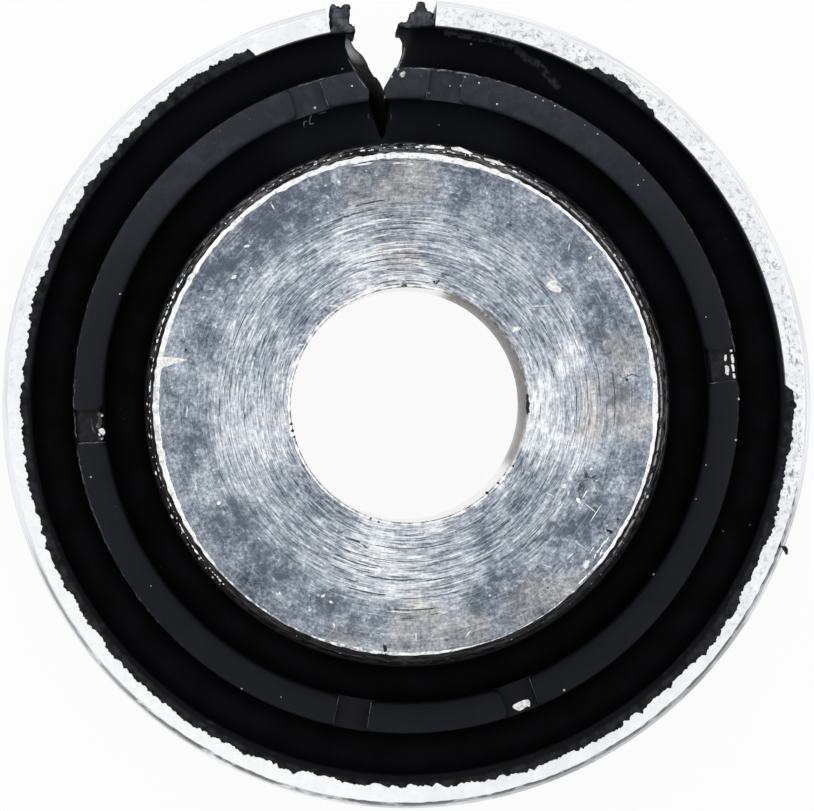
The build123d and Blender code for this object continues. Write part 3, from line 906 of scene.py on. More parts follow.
def build_outer_sleeve(materials):
    """Thin tube, open beside the slot, with a lead-in whose edge is a little uneven."""
    ragged, fine, saw = wander(11, 5, 70, 24), wander(12, 60, 240, 30), teeth(13, 1.3)
    columns = []
    for i in range(OUTER_COLUMNS + 1):
        bearing = LEFT_EDGE + (RIGHT_EDGE - LEFT_EDGE) * i / OUTER_COLUMNS
        crest = OUTER_RADIUS - LEAD_IN_WIDTH + 0.02 * ragged(bearing) + 0.01 * fine(bearing)
        crest -= 0.03 * saw(bearing)
        mouth = WALL_RADIUS + MOUTH_CHAMFER
        width = crest - WALL_RADIUS - MOUTH_CHAMFER
        half = [(WALL_RADIUS, z) for z in (MIDDLE, OUTER_TOP - 6, OUTER_TOP - MOUTH_CHAMFER)]
        half += [(mouth + share * width, OUTER_TOP) for share in (0, 0.25, 0.5, 0.75)]
        half += [(crest - 0.03, OUTER_TOP), (crest, OUTER_TOP - 0.02)]
        half.append(((crest + OUTER_RADIUS) / 2, OUTER_TOP - 0.5 * LEAD_IN_LENGTH))
        half.append((OUTER_RADIUS - 0.01, OUTER_TOP - LEAD_IN_LENGTH + 0.05))
        half += [(OUTER_RADIUS, z) for z in (OUTER_TOP - LEAD_IN_LENGTH - 0.05, OUTER_TOP - 6, MIDDLE)]
        columns.append([polar(r, bearing, z) for r, z in mirrored(half)])
    # Tube wall, face, lead-in and tube wall again
    steps = ((2, 2), (8, 0), (11, 1), (math.inf, 2))
    heap = Heap()
    heap.sweep(columns, cap=2, kind_of=kinds_along(len(half), steps))
    heap.build("outer_sleeve_open", materials, "outer_sleeve")


# Rubber body


def slot_wall(side, radius, height):
    """Sideways place of a wall of the slot: side -1 is the left one, 1 the right one."""
    down = (OUTER_TOP - height) / (OUTER_TOP - SLOT_LOW)
    lean = (OUTER_TOP - height) * SLOT_LEAN
    if radius <= SLIT_START:
        return lean
    # The slit is widest in the groove and narrows quickly below it
    open_share = min(1.0, max(0.0, (height - SLIT_NARROW) / 8))
    slit = SLIT_HALF * min(1.0, (radius - SLIT_START) / 0.15)
    slit += open_share * max(0.0, table(SLIT_UPPER, radius) - slit)
    if radius < SLOT_LEFT[0][0]:
        return lean + side * slit
    if side < 0:
        top, low = -table(SLOT_LEFT, radius), table(SLOT_LEFT_LOW, radius)
        return min(top + (low - top) * down, lean - slit)
    return max(lean + table(SLOT_RIGHT, radius), lean + slit)


def bearing_of(column, radius, height):
    """Bearing of a column at a radius and height. Columns bend along the slot and the notches."""
    bearing = column
    away = min(column, 360 - column)
    if away < SLOT_SPREAD:
        side = -1 if column < 180 else 1
        wall = -math.degrees(math.asin(slot_wall(side, radius, height) / radius))
        bearing += wall * (1 - away / SLOT_SPREAD)
    for notch in NOTCH_BEARINGS:
        gap = column - notch
        if abs(gap) < NOTCH_BEND:
            along = math.degrees(math.asin(PLATE_RADIUS * math.sin(math.radians(gap)) / radius))
            bearing += (along - gap) * min(1.0, (NOTCH_BEND - abs(gap)) / 1.4)
    return bearing


def notch_columns():
    """Nominal bearings of the columns, each with whether the ring stands up there."""
    dense = np.linspace(0, SLOT_SPREAD, 16)
    plain = set(np.concatenate((np.arange(0, 360.001, COLUMN_STEP), dense, 360 - dense)).round(4))
    marks = []
    for notch in NOTCH_BEARINGS:
        reach = math.degrees(math.asin((NOTCH_HALF + CORNER_LENGTH + 0.02) / PLATE_RADIUS))
        plain = {b for b in plain if abs(b - notch) > reach}
        steps = [(NOTCH_HALF + beyond, True, beyond) for beyond in CORNER_STEPS]
        steps += [(offset, False, CORNER_LENGTH) for offset in (NOTCH_HALF, NOTCH_HALF - 0.03, 0.6, 0.3)]
        for side in (-1, 1):
            for offset, stands, beyond in steps:
                turn = math.degrees(math.asin(offset / PLATE_RADIUS))
                marks.append((notch + side * turn, stands, beyond))
        marks.append((notch, False, CORNER_LENGTH))
    marks += [(b, True, CORNER_LENGTH) for b in plain]

    def order(mark):
        bearing, stands, _ = mark
        nearest = min(NOTCH_BEARINGS, key=lambda n: abs(n - bearing))
        return (round(bearing, 5), stands != (bearing < nearest))

    return sorted(marks, key=order)


def body_half(bearing, stands, beyond):
    """Upper half of the body's section at a bearing, from the inner sleeve to the outer one."""
    nearest = min(range(len(NOTCH_BEARINGS)), key=lambda k: abs(NOTCH_BEARINGS[k] - bearing))
    floor = RING_TOP - NOTCH_DEPTHS[nearest]
    ring_in, ring_out, wall = (shifted(r, bearing) for r in (RING_INNER, RING_OUTER, GROOVE_WALL))
    corner = 1 - math.sqrt(max(0.0, 1 - (1 - beyond / CORNER_LENGTH) ** 2))
    crest_in = ring_in + CORNER_INSIDE * corner
    crest_out = ring_out - CORNER_OUTSIDE * corner
    round_z = GROOVE_FLOOR + GROOVE_ROUND
    half = [(INNER_RADIUS, z) for z in (MIDDLE, MIDDLE + 8, GROOVE_FLOOR, SKIN_TOP - 3, SKIN_TOP)]
    half += [(SKIN_RADIUS - 0.07, SKIN_TOP)]
    half += [(SKIN_RADIUS, z) for z in (SKIN_TOP - 0.07, SKIN_TOP - 4, GROOVE_FLOOR + 3)]
    first = arc((SKIN_RADIUS + GROOVE_ROUND, round_z), GROOVE_ROUND, 180, 270, 8)
    for k, (r, z) in enumerate(first):
        half.append((r, z))
        if r < SLIT_START < first[min(k + 1, 8)][0]:
            share = (SLIT_START - r) / (first[k + 1][0] - r)
            half.append((SLIT_START, z + share * (first[k + 1][1] - z)))
    half += arc((ring_in - GROOVE_ROUND, round_z), GROOVE_ROUND, 270, 360, 5)
    crest = [(ring_in, floor), (crest_in, floor + 0.001), (crest_in, RING_TOP - RING_EDGE_INSIDE)]
    crest += arc((crest_in + RING_EDGE_INSIDE, RING_TOP - RING_EDGE_INSIDE), RING_EDGE_INSIDE, 150, 90, 2)
    crest += [(crest_in + (crest_out - crest_in) * share, RING_TOP + 0.01) for share in (0.35, 0.6, 0.8)]
    edge_z = RING_TOP - RING_EDGE_OUTSIDE
    crest += arc((crest_out - RING_EDGE_OUTSIDE, edge_z), RING_EDGE_OUTSIDE, 90, 30, 2)
    crest += [(crest_out, edge_z), (crest_out, floor + 0.001), (ring_out, floor)]
    half += crest if stands else [(r, min(z, floor)) for r, z in crest]
    half += arc((ring_out + GROOVE_ROUND, round_z), GROOVE_ROUND, 180, 270, 5)
    half += arc((wall - GROOVE_ROUND, round_z), GROOVE_ROUND, 270, 360, 5)
    half += [(wall, OUTER_TOP - 3), (wall, OUTER_TOP - 0.06)]
    half += [(wall + min(0.06, 0.5 * (WALL_RADIUS - wall)), OUTER_TOP)]
    half += [(WALL_RADIUS, z) for z in (OUTER_TOP, OUTER_TOP - 3, GROOVE_FLOOR, MIDDLE + 8, MIDDLE)]
    return half


def build_rubber_body(materials):
    """Moulded body in one piece, with its ring, grooves, skins, notches and slot."""
    columns, sections = [], []
    for nominal, stands, beyond in notch_columns():
        sections.append(mirrored(body_half(nominal, stands, beyond)))
        columns.append([polar(r, bearing_of(nominal, r, z), z) for r, z in sections[-1]])
    heap = Heap()
    heap.sweep(columns)
    # Walls of the slot close the two ends, from the root of the slit outwards
    for side, section in ((-1, sections[0]), (1, sections[-1])):
        flat, triangles = fill([p for p in section if p[0] >= SLIT_START - 1e-9], (0.35, 1.0))
        wall = [(slot_wall(side, r, z), r, z) for r, z in flat]
        heap.add([(x, math.sqrt(r * r - x * x), z) for x, r, z in wall], triangles, 1)
    heap.build("rubber_body_moulded", materials, "rubber_body", 40)


def rubber_height(x, y):
    """Height of the body's upper surface at a place on the ring, in a notch or in a groove."""
    radius = math.hypot(x, y)
    bearing = math.degrees(math.atan2(-x, y))
    ring_in, ring_out = shifted(RING_INNER, bearing), shifted(RING_OUTER, bearing)
    if ring_in <= radius <= ring_out:
        for notch, depth in zip(NOTCH_BEARINGS, NOTCH_DEPTHS):
            gap = math.radians(bearing - notch)
            if math.cos(gap) > 0 and abs(radius * math.sin(gap)) < NOTCH_HALF:
                return RING_TOP - depth
        return RING_TOP
    if radius < ring_in:
        low, high = SKIN_RADIUS, ring_in
    else:
        low, high = ring_out, shifted(GROOVE_WALL, bearing)
    near = min(radius - low, high - radius, GROOVE_ROUND)
    return GROOVE_FLOOR + GROOVE_ROUND - math.sqrt(GROOVE_ROUND**2 - (GROOVE_ROUND - near) ** 2)


def settle(pixel):
    """Point of the body's upper surface that shows at a pixel of the picture."""
    height = RING_TOP
    for _ in range(3):
        height = rubber_height(*place(pixel, height)[:2])
    return place(pixel, height)


def end_height(radius):
    """Height of the inner sleeve's end at a radius, on its face or on its worn edge."""
    fall = (radius - RIM_RUN[0][2]) / (INNER_RADIUS - RIM_RUN[0][2])
    return INNER_TOP - EDGE_DROP * min(1.0, max(0.0, fall))


# Film over the outer sleeve's ends: runs of bearing and reach
FILM_RUNS = {
    'upper': (
        (
            (17.9, 19.5), (18.6, 20.08), (27, 20.1), (38, 19.98), (50, 19.88), (60, 19.84), (90, 19.82),
            (100, 19.84), (118, 19.86), (135, 19.9), (145, 19.8), (158, 19.73), (162, 19.55),
            (166, 19.66), (176, 19.7), (190, 19.78), (200, 19.86), (222, 19.94), (240, 19.9),
            (252, 19.82), (262, 19.86), (265.2, 19.97), (266.6, 19.9), (267.4, 19.5),
        ),
        ((313.6, 19.5), (314.6, 19.8), (317, 19.7), (320, 19.94), (325.2, 19.96), (326.4, 19.5)),
    ),
    'lower': (
        ((18.0, 19.5), (22, 19.85), (90, 19.9), (170, 19.82), (240, 19.88), (262, 19.8), (267, 19.5)),
    ),
}
FILM_HEIGHT = 0.09
FILM_STEP = 0.15


def build_film(end, material):
    """Ragged thin film that ran out of the mould over the sleeve's end face."""
    low = end == "lower"
    heap = Heap()
    saw, nibble = teeth(22 if low else 21, 0.8), teeth(24 if low else 23, 0.38)
    step, swell = bites(28, 2.1), wander(26, 4, 40, 20)
    for run in FILM_RUNS[end]:
        first, last = run[0][0], run[-1][0]
        count = round((last - first) / FILM_STEP)
        columns = []
        for i in range(count + 1):
            bearing = first + (last - first) * i / count
            reach = table(run, bearing)
            full = min(1.0, (reach - WALL_RADIUS) / 0.2)
            reach += full * (0.16 * saw(bearing) + 0.1 * nibble(bearing) + 0.2 * step(bearing) - 0.18)
            reach = max(reach, WALL_RADIUS + 0.03)
            wall = shifted(GROOVE_WALL, bearing)
            thick = FILM_HEIGHT * (0.8 + 0.2 * swell(bearing))
            section = [(wall + 0.02, -0.3), (wall, -0.12), (wall + 0.03, 0.5 * thick)]
            section += [(wall + 0.1, thick), ((wall + reach) / 2 + 0.05, 0.92 * thick)]
            section += [(reach - 0.04, 0.75 * thick), (reach, 0.3 * thick), (reach - 0.01, -0.006)]
            section += [(WALL_RADIUS + 0.01, -0.006), (WALL_RADIUS - 0.02, -0.3)]
            section = [(r, OUTER_TOP + rise) for r, rise in section]
            columns.append([polar(r, bearing, INNER_TOP - z if low else z) for r, z in section])
        heap.sweep(columns, cap=0)
    heap.build("film_" + end, [material], sharp=50)


# Outlines of the ribs beside the slot
LEFT_RIB = (
    (-1.02, 19.28), (-2.03, 19.3), (-2.08, 19.5), (-2.0, 19.56), (-2.03, 20.0), (-1.95, 20.12),
    (-1.97, 20.44), (-1.89, 20.5), (-1.96, 20.72), (-1.86, 20.84), (-1.72, 20.82), (-1.66, 20.72),
    (-1.5, 20.7), (-1.42, 20.62), (-1.3, 20.72), (-1.12, 20.78), (-0.94, 20.72), (-0.9, 20.58),
    (-0.99, 20.5), (-0.96, 20.2), (-1.05, 20.08), (-1.04, 19.74), (-0.93, 19.7), (-0.9, 19.62),
    (-0.8, 19.58), (-0.78, 19.36), (-0.88, 19.3),
)
RIGHT_RIB = (
    (1.5, 19.28), (1.42, 19.34), (1.44, 19.5), (1.6, 19.57), (1.8, 19.54), (1.96, 19.6), (2.0, 19.68),
    (2.04, 19.72), (2.06, 19.94), (2.12, 20.02), (2.3, 20.04), (2.36, 20.16), (2.46, 20.18), (2.5, 20.42),
    (2.58, 20.52), (2.7, 20.54), (2.84, 20.5), (2.92, 20.42), (2.92, 20.2), (2.98, 20.14), (3.02, 20.02),
    (3.14, 20.0), (3.2, 19.92), (3.32, 19.86), (3.32, 19.78), (3.24, 19.7), (3.26, 19.54), (3.36, 19.48),
    (3.4, 19.3), (3.36, 19.22), (3.0, 19.2), (2.2, 19.2),
)
RIB_STEP = 0.09
RIB_ROUGHNESS = 0.015


def build_rib(name, outline, seed, materials):
    """Rib of torn rubber along the edge of the outer sleeve, from the upper end to the lower one."""
    rng = random.Random(seed)
    top = OUTER_TOP - 0.1
    low = INNER_TOP - top
    heights = [top - down for down in (0, 0.25, 0.8, 2, 5, 10)] + [MIDDLE]
    heights += [low + up for up in (10, 4, 1, 0)]
    dense = []
    for here, following in zip(outline, outline[1:] + outline[:1]):
        here, following = Vector(here), Vector(following)
        pieces = max(1, round((following - here).length / RIB_STEP))
        dense += [here.lerp(following, j / pieces) for j in range(pieces)]
    centre = sum(dense, Vector((0, 0))) / len(dense)
    loops = []
    for height in heights:
        inset = 0.04 if height in (top, low) else 0.0
        loop = []
        for p in dense:
            jitter = Vector((rng.uniform(-1, 1), rng.uniform(-1, 1))) * RIB_ROUGHNESS
            moved = p - (p - centre).normalized() * inset + jitter
            loop.append((moved.x, moved.y))
        loops.append(loop)
    heap = Heap()
    heap.sweep([[(x, y, height) for x, y in loop] for loop, height in zip(loops, heights)])
    for loop, height, grow in ((loops[0], top, 1), (loops[-1], low, -1)):
        flat, triangles = fill(loop, (RIB_STEP, RIB_STEP))
        edges = [clearance(loop, x, y) for x, y in flat]
        points = []
        for (x, y), edge in zip(flat, edges):
            lift = min(edge, 0.12) * 0.5 + (rng.uniform(-0.02, 0.04) if edge > 0.05 else 0.0)
            points.append((x, y, height + grow * lift))
        heap.add(points, triangles, [int(max(edges[k] for k in t) > 0.075) for t in triangles])
    heap.build(name, materials, sharp=55)


def build_plate(side, material):
    """Half shell of sheet metal, with its edges eased."""
    sign = 1 if side == "left" else -1
    columns = []
    for bearing in np.linspace(*PLATE_SPAN, 330):
        half = [(PLATE_INSIDE, MIDDLE), (PLATE_INSIDE, PLATE_TOP - PLATE_EASE)]
        half += [(PLATE_INSIDE + PLATE_EASE, PLATE_TOP)]
        width = PLATE_OUTSIDE - PLATE_INSIDE - 2 * PLATE_EASE
        half += [(PLATE_INSIDE + PLATE_EASE + width * k / 6, PLATE_TOP) for k in range(1, 6)]
        half += [(PLATE_OUTSIDE - PLATE_EASE, PLATE_TOP), (PLATE_OUTSIDE, PLATE_TOP - PLATE_EASE)]
        half += [(PLATE_OUTSIDE, MIDDLE)]
        turn = sign * bearing
        columns.append([polar(shifted(r, turn), turn, z) for r, z in mirrored(half)])
    heap = Heap()
    heap.sweep(columns, cap=0)
    heap.build("interleaf_plate_" + side, [material], "interleaf_" + side)


# Forms of the small marks


def sliver(heap, centre, length, width, turn, height, crooked=0.0):
    """Adds a low, pointed ridge that lies on a surface."""
    ax, ay = math.cos(turn), math.sin(turn)
    x, y, z = centre
    outline = ((-0.5, 0), (-0.2, 0.5), (0.2, 0.45), (0.5, crooked), (0.15, -0.5), (-0.25, -0.45))
    points = []
    for along, across in outline:
        u, v = along * length, across * width
        points.append((x + u * ax - v * ay, y + u * ay + v * ax, z - 0.002))
    for along in (-0.15, 0.15):
        points.append((x + along * length * ax, y + along * length * ay, z + height))
    sides = [(0, 1, 6), (1, 2, 7, 6), (2, 3, 7), (3, 4, 7), (4, 5, 6, 7), (5, 0, 6)]
    heap.add(points, sides + [(5, 4, 3, 2, 1, 0)])


def crumb(heap, centre, size, rng, flat=0.6):
    """Adds a small lump with facets."""
    x, y, z = centre
    sides = 7
    points = [(x, y, z - 0.1 * size * flat)]
    for spread, lift in ((0.9, 0.0), (0.75, 0.55)):
        for k in range(sides):
            turn = 2 * math.pi * k / sides
            reach = size * spread * rng.uniform(0.35, 0.62)
            rise = size * lift * flat * rng.uniform(0.7, 1.1)
            points.append((x + reach * math.cos(turn), y + reach * math.sin(turn), z + rise))
    points.append((x, y, z + size * 0.8 * flat))
    faces = []
    for k in range(sides):
        a, b = 1 + k, 1 + (k + 1) % sides
        faces += [(0, b, a), (a, b, b + sides, a + sides), (a + sides, b + sides, 1 + 2 * sides)]
    heap.add(points, faces)


def bead(heap, path, size):
    """Adds a thin three-sided ridge along a path."""
    rows = [Vector(p) for p in path]
    last = len(rows) - 1
    points, faces = [], []
    for k, here in enumerate(rows):
        run = rows[min(k + 1, last)] - rows[max(k - 1, 0)]
        across = Vector((-run.y, run.x, 0)).normalized() * size / 2
        taper = 0.3 if k in (0, last) else 1.0
        points.append(here + across * taper - Vector((0, 0, 0.01)))
        points.append(here - across * taper - Vector((0, 0, 0.01)))
        points.append(here + Vector((0, 0, min(0.5 * size, 0.03) * taper)))
    for a in range(0, 3 * last, 3):
        faces += [(a, a + 1, a + 4, a + 3), (a + 1, a + 2, a + 5, a + 4), (a + 2, a, a + 3, a + 5)]
    faces += [(0, 2, 1), (3 * last, 3 * last + 1, 3 * last + 2)]
    heap.add(points, faces)


def slab(heap, corners, height, thick):
    """Adds a thin flat shape, given by its corners in the picture."""
    count = len(corners)
    points = [place(corner, height + rise) for rise in (-0.01, thick) for corner in corners]
    faces = []
    for a, b, c in geometry.tessellate_polygon([[Vector((*corner, 0)) for corner in corners]]):
        faces += [(a, b, c), (count + a, count + c, count + b)]
    for k in range(count):
        following = (k + 1) % count
        faces.append((k, following, count + following, count + k))
    heap.add(points, faces)


def stroke(heap, mark, rng):
    """Adds a low ridge or smear along an arc about the bore."""
    radius, first, last, width = mark
    steps = max(4, round((last - first) / 0.9))
    sway = rng.uniform(-0.05, 0.05)
    path = []
    for k in range(steps + 1):
        share = k / steps
        away = radius + sway * (share - 0.5) + rng.uniform(-0.012, 0.012)
        bearing = first + (last - first) * share - 90 - math.degrees(ROLL)
        path.append(polar(away, bearing, INNER_TOP - 0.002))
    bead(heap, path, width)


# Notch edges with a pale ridge, a painted highlight: notch bearing, side, width
NOTCH_EDGE_GLINTS = (
    (347.6, 1, 0.05), (347.6, -1, 0.05), (12.4, -1, 0.05), (164.6, 1, 0.06), (195.4, 1, 0.04),
    (88.5, 1, 0.08), (271.5, -1, 0.05), (164.6, -1, 0.03),
)
# Pale ridges along the ring's outer edge, painted highlights: first and last bearing, width
RING_EDGE_GLINTS = (
    (340.0, 356.0, 0.09), (326.0, 340.0, 0.06), (312.0, 326.0, 0.03), (6.5, 14.0, 0.04),
    (58.0, 80.0, 0.035), (80.0, 86.0, 0.07), (86.0, 91.0, 0.05), (92.0, 112.0, 0.06),
    (112.0, 128.0, 0.035), (24.0, 58.0, 0.02), (256.0, 268.0, 0.035), (273.6, 277.0, 0.07),
    (277.0, 300.0, 0.04),
)
# Pale line along the ring's rounded corner below the right notch, a painted highlight
CORNER_GLINT = ((730, 379), (733.5, 382.4), (737, 388), (740, 393.4))
# Pale ridges along the slot's lips, painted highlights: side, first and last radius, width
SLOT_LIP_GLINTS = ((1, 17.35, 18.5, 0.1), (-1, 17.35, 18.1, 0.06), (-1, 16.3, 17.2, 0.04))


def build_glint_ridges(material):
    """Thin pale ridges of rubber along the notches and the ring's outer edge, painted highlights."""
    rng = random.Random(51)
    heap = Heap()
    for notch, side, width in NOTCH_EDGE_GLINTS:
        path = []
        for share in np.linspace(0.06, 0.94, 9):
            radius = RING_INNER + share * (RING_OUTER - RING_INNER)
            offset = math.degrees(math.asin((NOTCH_HALF + 0.03) / radius)) * side
            bearing = notch + offset + rng.uniform(-0.06, 0.06)
            path.append(polar(shifted(radius, bearing), bearing, RING_TOP))
        bead(heap, path, width)
    for start, end, width in RING_EDGE_GLINTS:
        path = []
        for bearing in np.arange(start, end, 0.5):
            radius = shifted(RING_OUTER, bearing) - 0.06 + rng.uniform(-0.035, 0.035)
            path.append(polar(radius, bearing + rng.uniform(-0.15, 0.15), RING_TOP - 0.02))
        bead(heap, path, width)
    bead(heap, [place(pixel, RING_TOP - 0.01) for pixel in CORNER_GLINT], 0.03)
    heap.build("glint_ridges", [material])


def build_slot_lip_glints(material):
    """Pale ridges along the upper edges of the slot, painted highlights."""
    rng = random.Random(52)
    heap = Heap()
    for side, first, last, width in SLOT_LIP_GLINTS:
        path = []
        for radius in np.arange(first, last, 0.12):
            height = rubber_height(0, radius)
            x = slot_wall(side, radius, height) + side * (0.08 + rng.uniform(0, 0.02))
            path.append((x, math.sqrt(radius**2 - x**2), height))
        bead(heap, path, width)
    heap.build("slot_lip_glints", [material])


# Bare metal flecks round the tube's edge: first and last direction, radius, spread, step, size
EDGE_FLECKS = (
    (150, 226, 13.12, 0.03, 1.45, 0.19), (150, 175, 13.27, 0.03, 3.4, 0.09),
    (180, 226, 13.3, 0.04, 3.4, 0.1), (96, 150, 13.08, 0.07, 1.7, 0.13),
    (100, 150, 13.28, 0.04, 3.6, 0.08), (60, 100, 13.1, 0.09, 1.8, 0.15), (64, 96, 13.3, 0.06, 3.2, 0.1),
    (20, 60, 13.1, 0.1, 3.0, 0.08), (255, 330, 13.2, 0.05, 5.0, 0.06), (232, 255, 13.1, 0.06, 4.0, 0.06),
)
# Curls of metal on the tube's edge at the top, each by its corners in the picture
EDGE_CURLS = (
    ((426, 146.3), (433, 145), (445, 147), (444, 149), (436, 148.6), (427, 148)),
    ((451, 147.5), (459, 146.8), (466, 149.8), (473, 153.3), (470, 154.6), (460, 151.5), (452, 149.6)),
    ((484, 158), (492, 159.6), (500, 162), (505.5, 165.5), (500, 165.5), (492, 163), (485, 160.5)),
    ((415, 146.6), (419, 146), (420, 147.6), (416, 148.2)),
    ((474, 155.6), (479, 156.4), (480.5, 158.4), (475, 157.6)),
)


def build_edge_flecks(material):
    """Bare flecks that show through the smear on the edge of the inner tube."""
    rng = random.Random(61)
    heap = Heap()
    for direction, last, radius, spread, step, size in EDGE_FLECKS:
        while direction < last:
            bearing = direction - 90 - math.degrees(ROLL)
            away = radius + rng.uniform(-spread, spread)
            height = end_height(away) - 0.02 if away < INNER_RADIUS else SKIN_TOP
            along = size * rng.choice((0.8, 1.0, 1.6, 2.6))
            turn = math.radians(bearing) + rng.uniform(-0.2, 0.2)
            sliver(heap, polar(away, bearing, height), along, size * rng.uniform(0.5, 1.1), turn, 0.04)
            direction += step * rng.uniform(0.5, 1.6)
    for corners in EDGE_CURLS:
        slab(heap, corners, INNER_TOP - EDGE_DROP, 0.06)
    heap.build("edge_flecks", [material])


# Shallow bruises, and a curl and a squiggle, on the upper end face, in the picture
BRUISES = (
    ((579, 484), (583, 481), (585, 486), (583.5, 492), (580, 495), (577.5, 491)),
    ((592, 504), (599, 511), (598, 512.5), (591, 506)),
    ((584, 472), (587, 470), (588, 474), (586, 480), (583, 478)),
    ((403, 281), (406, 283), (407.5, 286.5), (401, 287)),
    ((434, 283.5), (439, 279.5), (440, 281), (436, 285)),
    ((453, 193), (460, 195), (461, 198), (455, 198.5), (450, 195)),
    ((456, 226), (459, 227), (459.5, 231), (457, 231.5)),
    ((443, 218.5), (447, 219), (448, 221.5), (444, 222)),
    ((344, 536.5), (350, 537.5), (359, 541), (360.5, 543), (355, 542), (347, 539.5)),
    ((361, 543.5), (365, 545), (369, 548.5), (365, 548)),
    ((337.5, 530.5), (343.5, 532), (341, 534), (338, 533)),
)
BRUISE = ((585.5, 466), (584.5, 470), (586, 475), (590, 478), (594.5, 477), (596, 473))
SQUIGGLE = ((626, 381.5), (625.5, 378), (628, 375.5), (632, 374.5), (636, 375.5), (640, 378))
# Tool marks: radius, first and last direction, width
DARK_STROKES = (
    (9.99, 109, 116, 0.1), (10.1, 98, 113, 0.14), (10.48, 96, 105, 0.12), (9.26, 85, 98, 0.05),
    (9.0, 86, 99.5, 0.06), (7.49, 93, 108, 0.08), (7.18, 85, 99, 0.06), (7.74, 65, 83, 0.05),
    (12.5, 84, 97, 0.05), (7.4, 257, 288, 0.07), (8.07, 242, 276, 0.05), (8.55, 244, 260, 0.07),
    (8.85, 250, 259, 0.06), (9.02, 256, 273, 0.12), (9.08, 276, 285, 0.07), (8.25, 279, 285, 0.06),
    (9.85, 252, 264, 0.08), (9.95, 268, 286, 0.06), (10.55, 266, 278, 0.1), (10.98, 268, 272.5, 0.07),
    (10.85, 276, 279, 0.07), (9.45, 250, 255, 0.06), (10.65, -6, 9, 0.06), (9.27, -4, 12, 0.05),
    (8.7, -8, 6, 0.05), (9.9, 2, 13, 0.05), (8.35, 174, 188, 0.05), (9.1, 168, 180, 0.05),
    (7.5, 168, 178, 0.05), (8.0, 150, 160, 0.05), (8.9, 140, 150, 0.05), (9.4, 150, 162, 0.06),
    (9.6, 178, 184, 0.06), (7.0, 290, 302, 0.05), (7.9, 296, 312, 0.05), (8.4, 304, 318, 0.05),
    (8.9, 290, 300, 0.06), (9.3, 312, 326, 0.05), (7.3, 318, 330, 0.05), (8.1, 326, 340, 0.05),
)
BRIGHT_STROKES = (
    (10.33, 96, 110, 0.09), (9.36, 86, 97, 0.06), (9.1, 86, 92, 0.05), (7.35, 92, 97, 0.1),
    (12.34, 89.5, 94, 0.09), (12.48, 98, 103, 0.13), (10.88, 256, 274, 0.07), (10.4, 266, 273, 0.07),
    (9.5, 250, 261, 0.07), (7.72, 256, 283, 0.1), (7.95, 262, 276, 0.08), (8.3, 258, 276, 0.09),
    (7.6, 276, 286, 0.08), (8.75, 262, 275, 0.12), (9.25, 256, 268, 0.08), (9.35, 277, 288, 0.06),
    (10.1, -9, 8, 0.07), (9.75, -6, 10, 0.06), (9.45, 0, 14, 0.06), (8.9, -12, 4, 0.06),
    (8.2, -10, 8, 0.06), (7.6, -6, 10, 0.06), (10.85, -10, -2, 0.06), (11.3, -9, 3, 0.05),
    (6.6, 172, 190, 0.08), (7.2, 176, 192, 0.07), (8.6, 176, 190, 0.07), (9.3, 180, 190, 0.07),
    (10.2, 178, 186, 0.07), (6.5, 98, 112, 0.12), (6.8, 88, 100, 0.1), (11.0, 180, 186, 0.05),
    (10.6, 306, 314, 0.05), (10.1, 318, 326, 0.05), (9.7, 300, 308, 0.05), (7.0, 98, 106, 0.1),
)
LOOSE_STROKES = 620


def build_strokes(bright, dark):
    """Marks of the turning tool on the upper end face, the placed ones and many loose ones."""
    rng = random.Random(71)
    marks = {"light": list(BRIGHT_STROKES), "dark": list(DARK_STROKES)}
    for k in range(LOOSE_STROKES):
        radius = rng.uniform(6.3, 10.3) if k % 6 else rng.uniform(10.3, 12.4)
        first = rng.uniform(0, 360)
        length = rng.uniform(8, 55) / radius if k % 6 else rng.uniform(5, 22) / radius
        name = "light" if k % 2 else "dark"
        marks[name].append((radius, first, first + length, rng.uniform(0.018, 0.05)))
    for name, material in (("light", bright), ("dark", dark)):
        heap = Heap()
        for mark in marks[name]:
            stroke(heap, mark, rng)
        if name == "dark":
            for trail, width in ((SQUIGGLE, 0.08), (BRUISE, 0.09)):
                bead(heap, [place(pixel, INNER_TOP) for pixel in trail], width)
            for corners in BRUISES:
                slab(heap, corners, INNER_TOP, 0.004)
        heap.build("tool_marks_" + name, [material])


# Bright and dark flat shapes on the upper end face, each by its corners in the picture
BRIGHT_SHAPES = (
    (
        (159.5, 357.5), (166, 356.8), (173, 357.2), (180, 358.3), (188, 360), (181, 361.8), (172, 364.6),
        (160, 369),
    ),
    ((547, 287), (550, 285), (554, 284.5), (559, 286), (562, 290), (560, 292.5), (555, 292), (550, 290)),
    ((586, 560), (588.5, 562), (588.5, 567), (585, 569), (583, 566)),
)
DARK_SHAPES = (
    ((383, 644.5), (386.5, 645.5), (387, 650), (386, 654.5), (384, 653), (383.5, 649)),
    (
        (526.5, 393.5), (529, 395), (528.5, 400), (530, 404), (529, 408), (530, 412), (527, 414.5),
        (525.5, 408), (526.5, 401),
    ),
    ((606, 529), (611, 530), (612, 532.5), (607, 532)),
)
SHAPE_RISE = 0.006
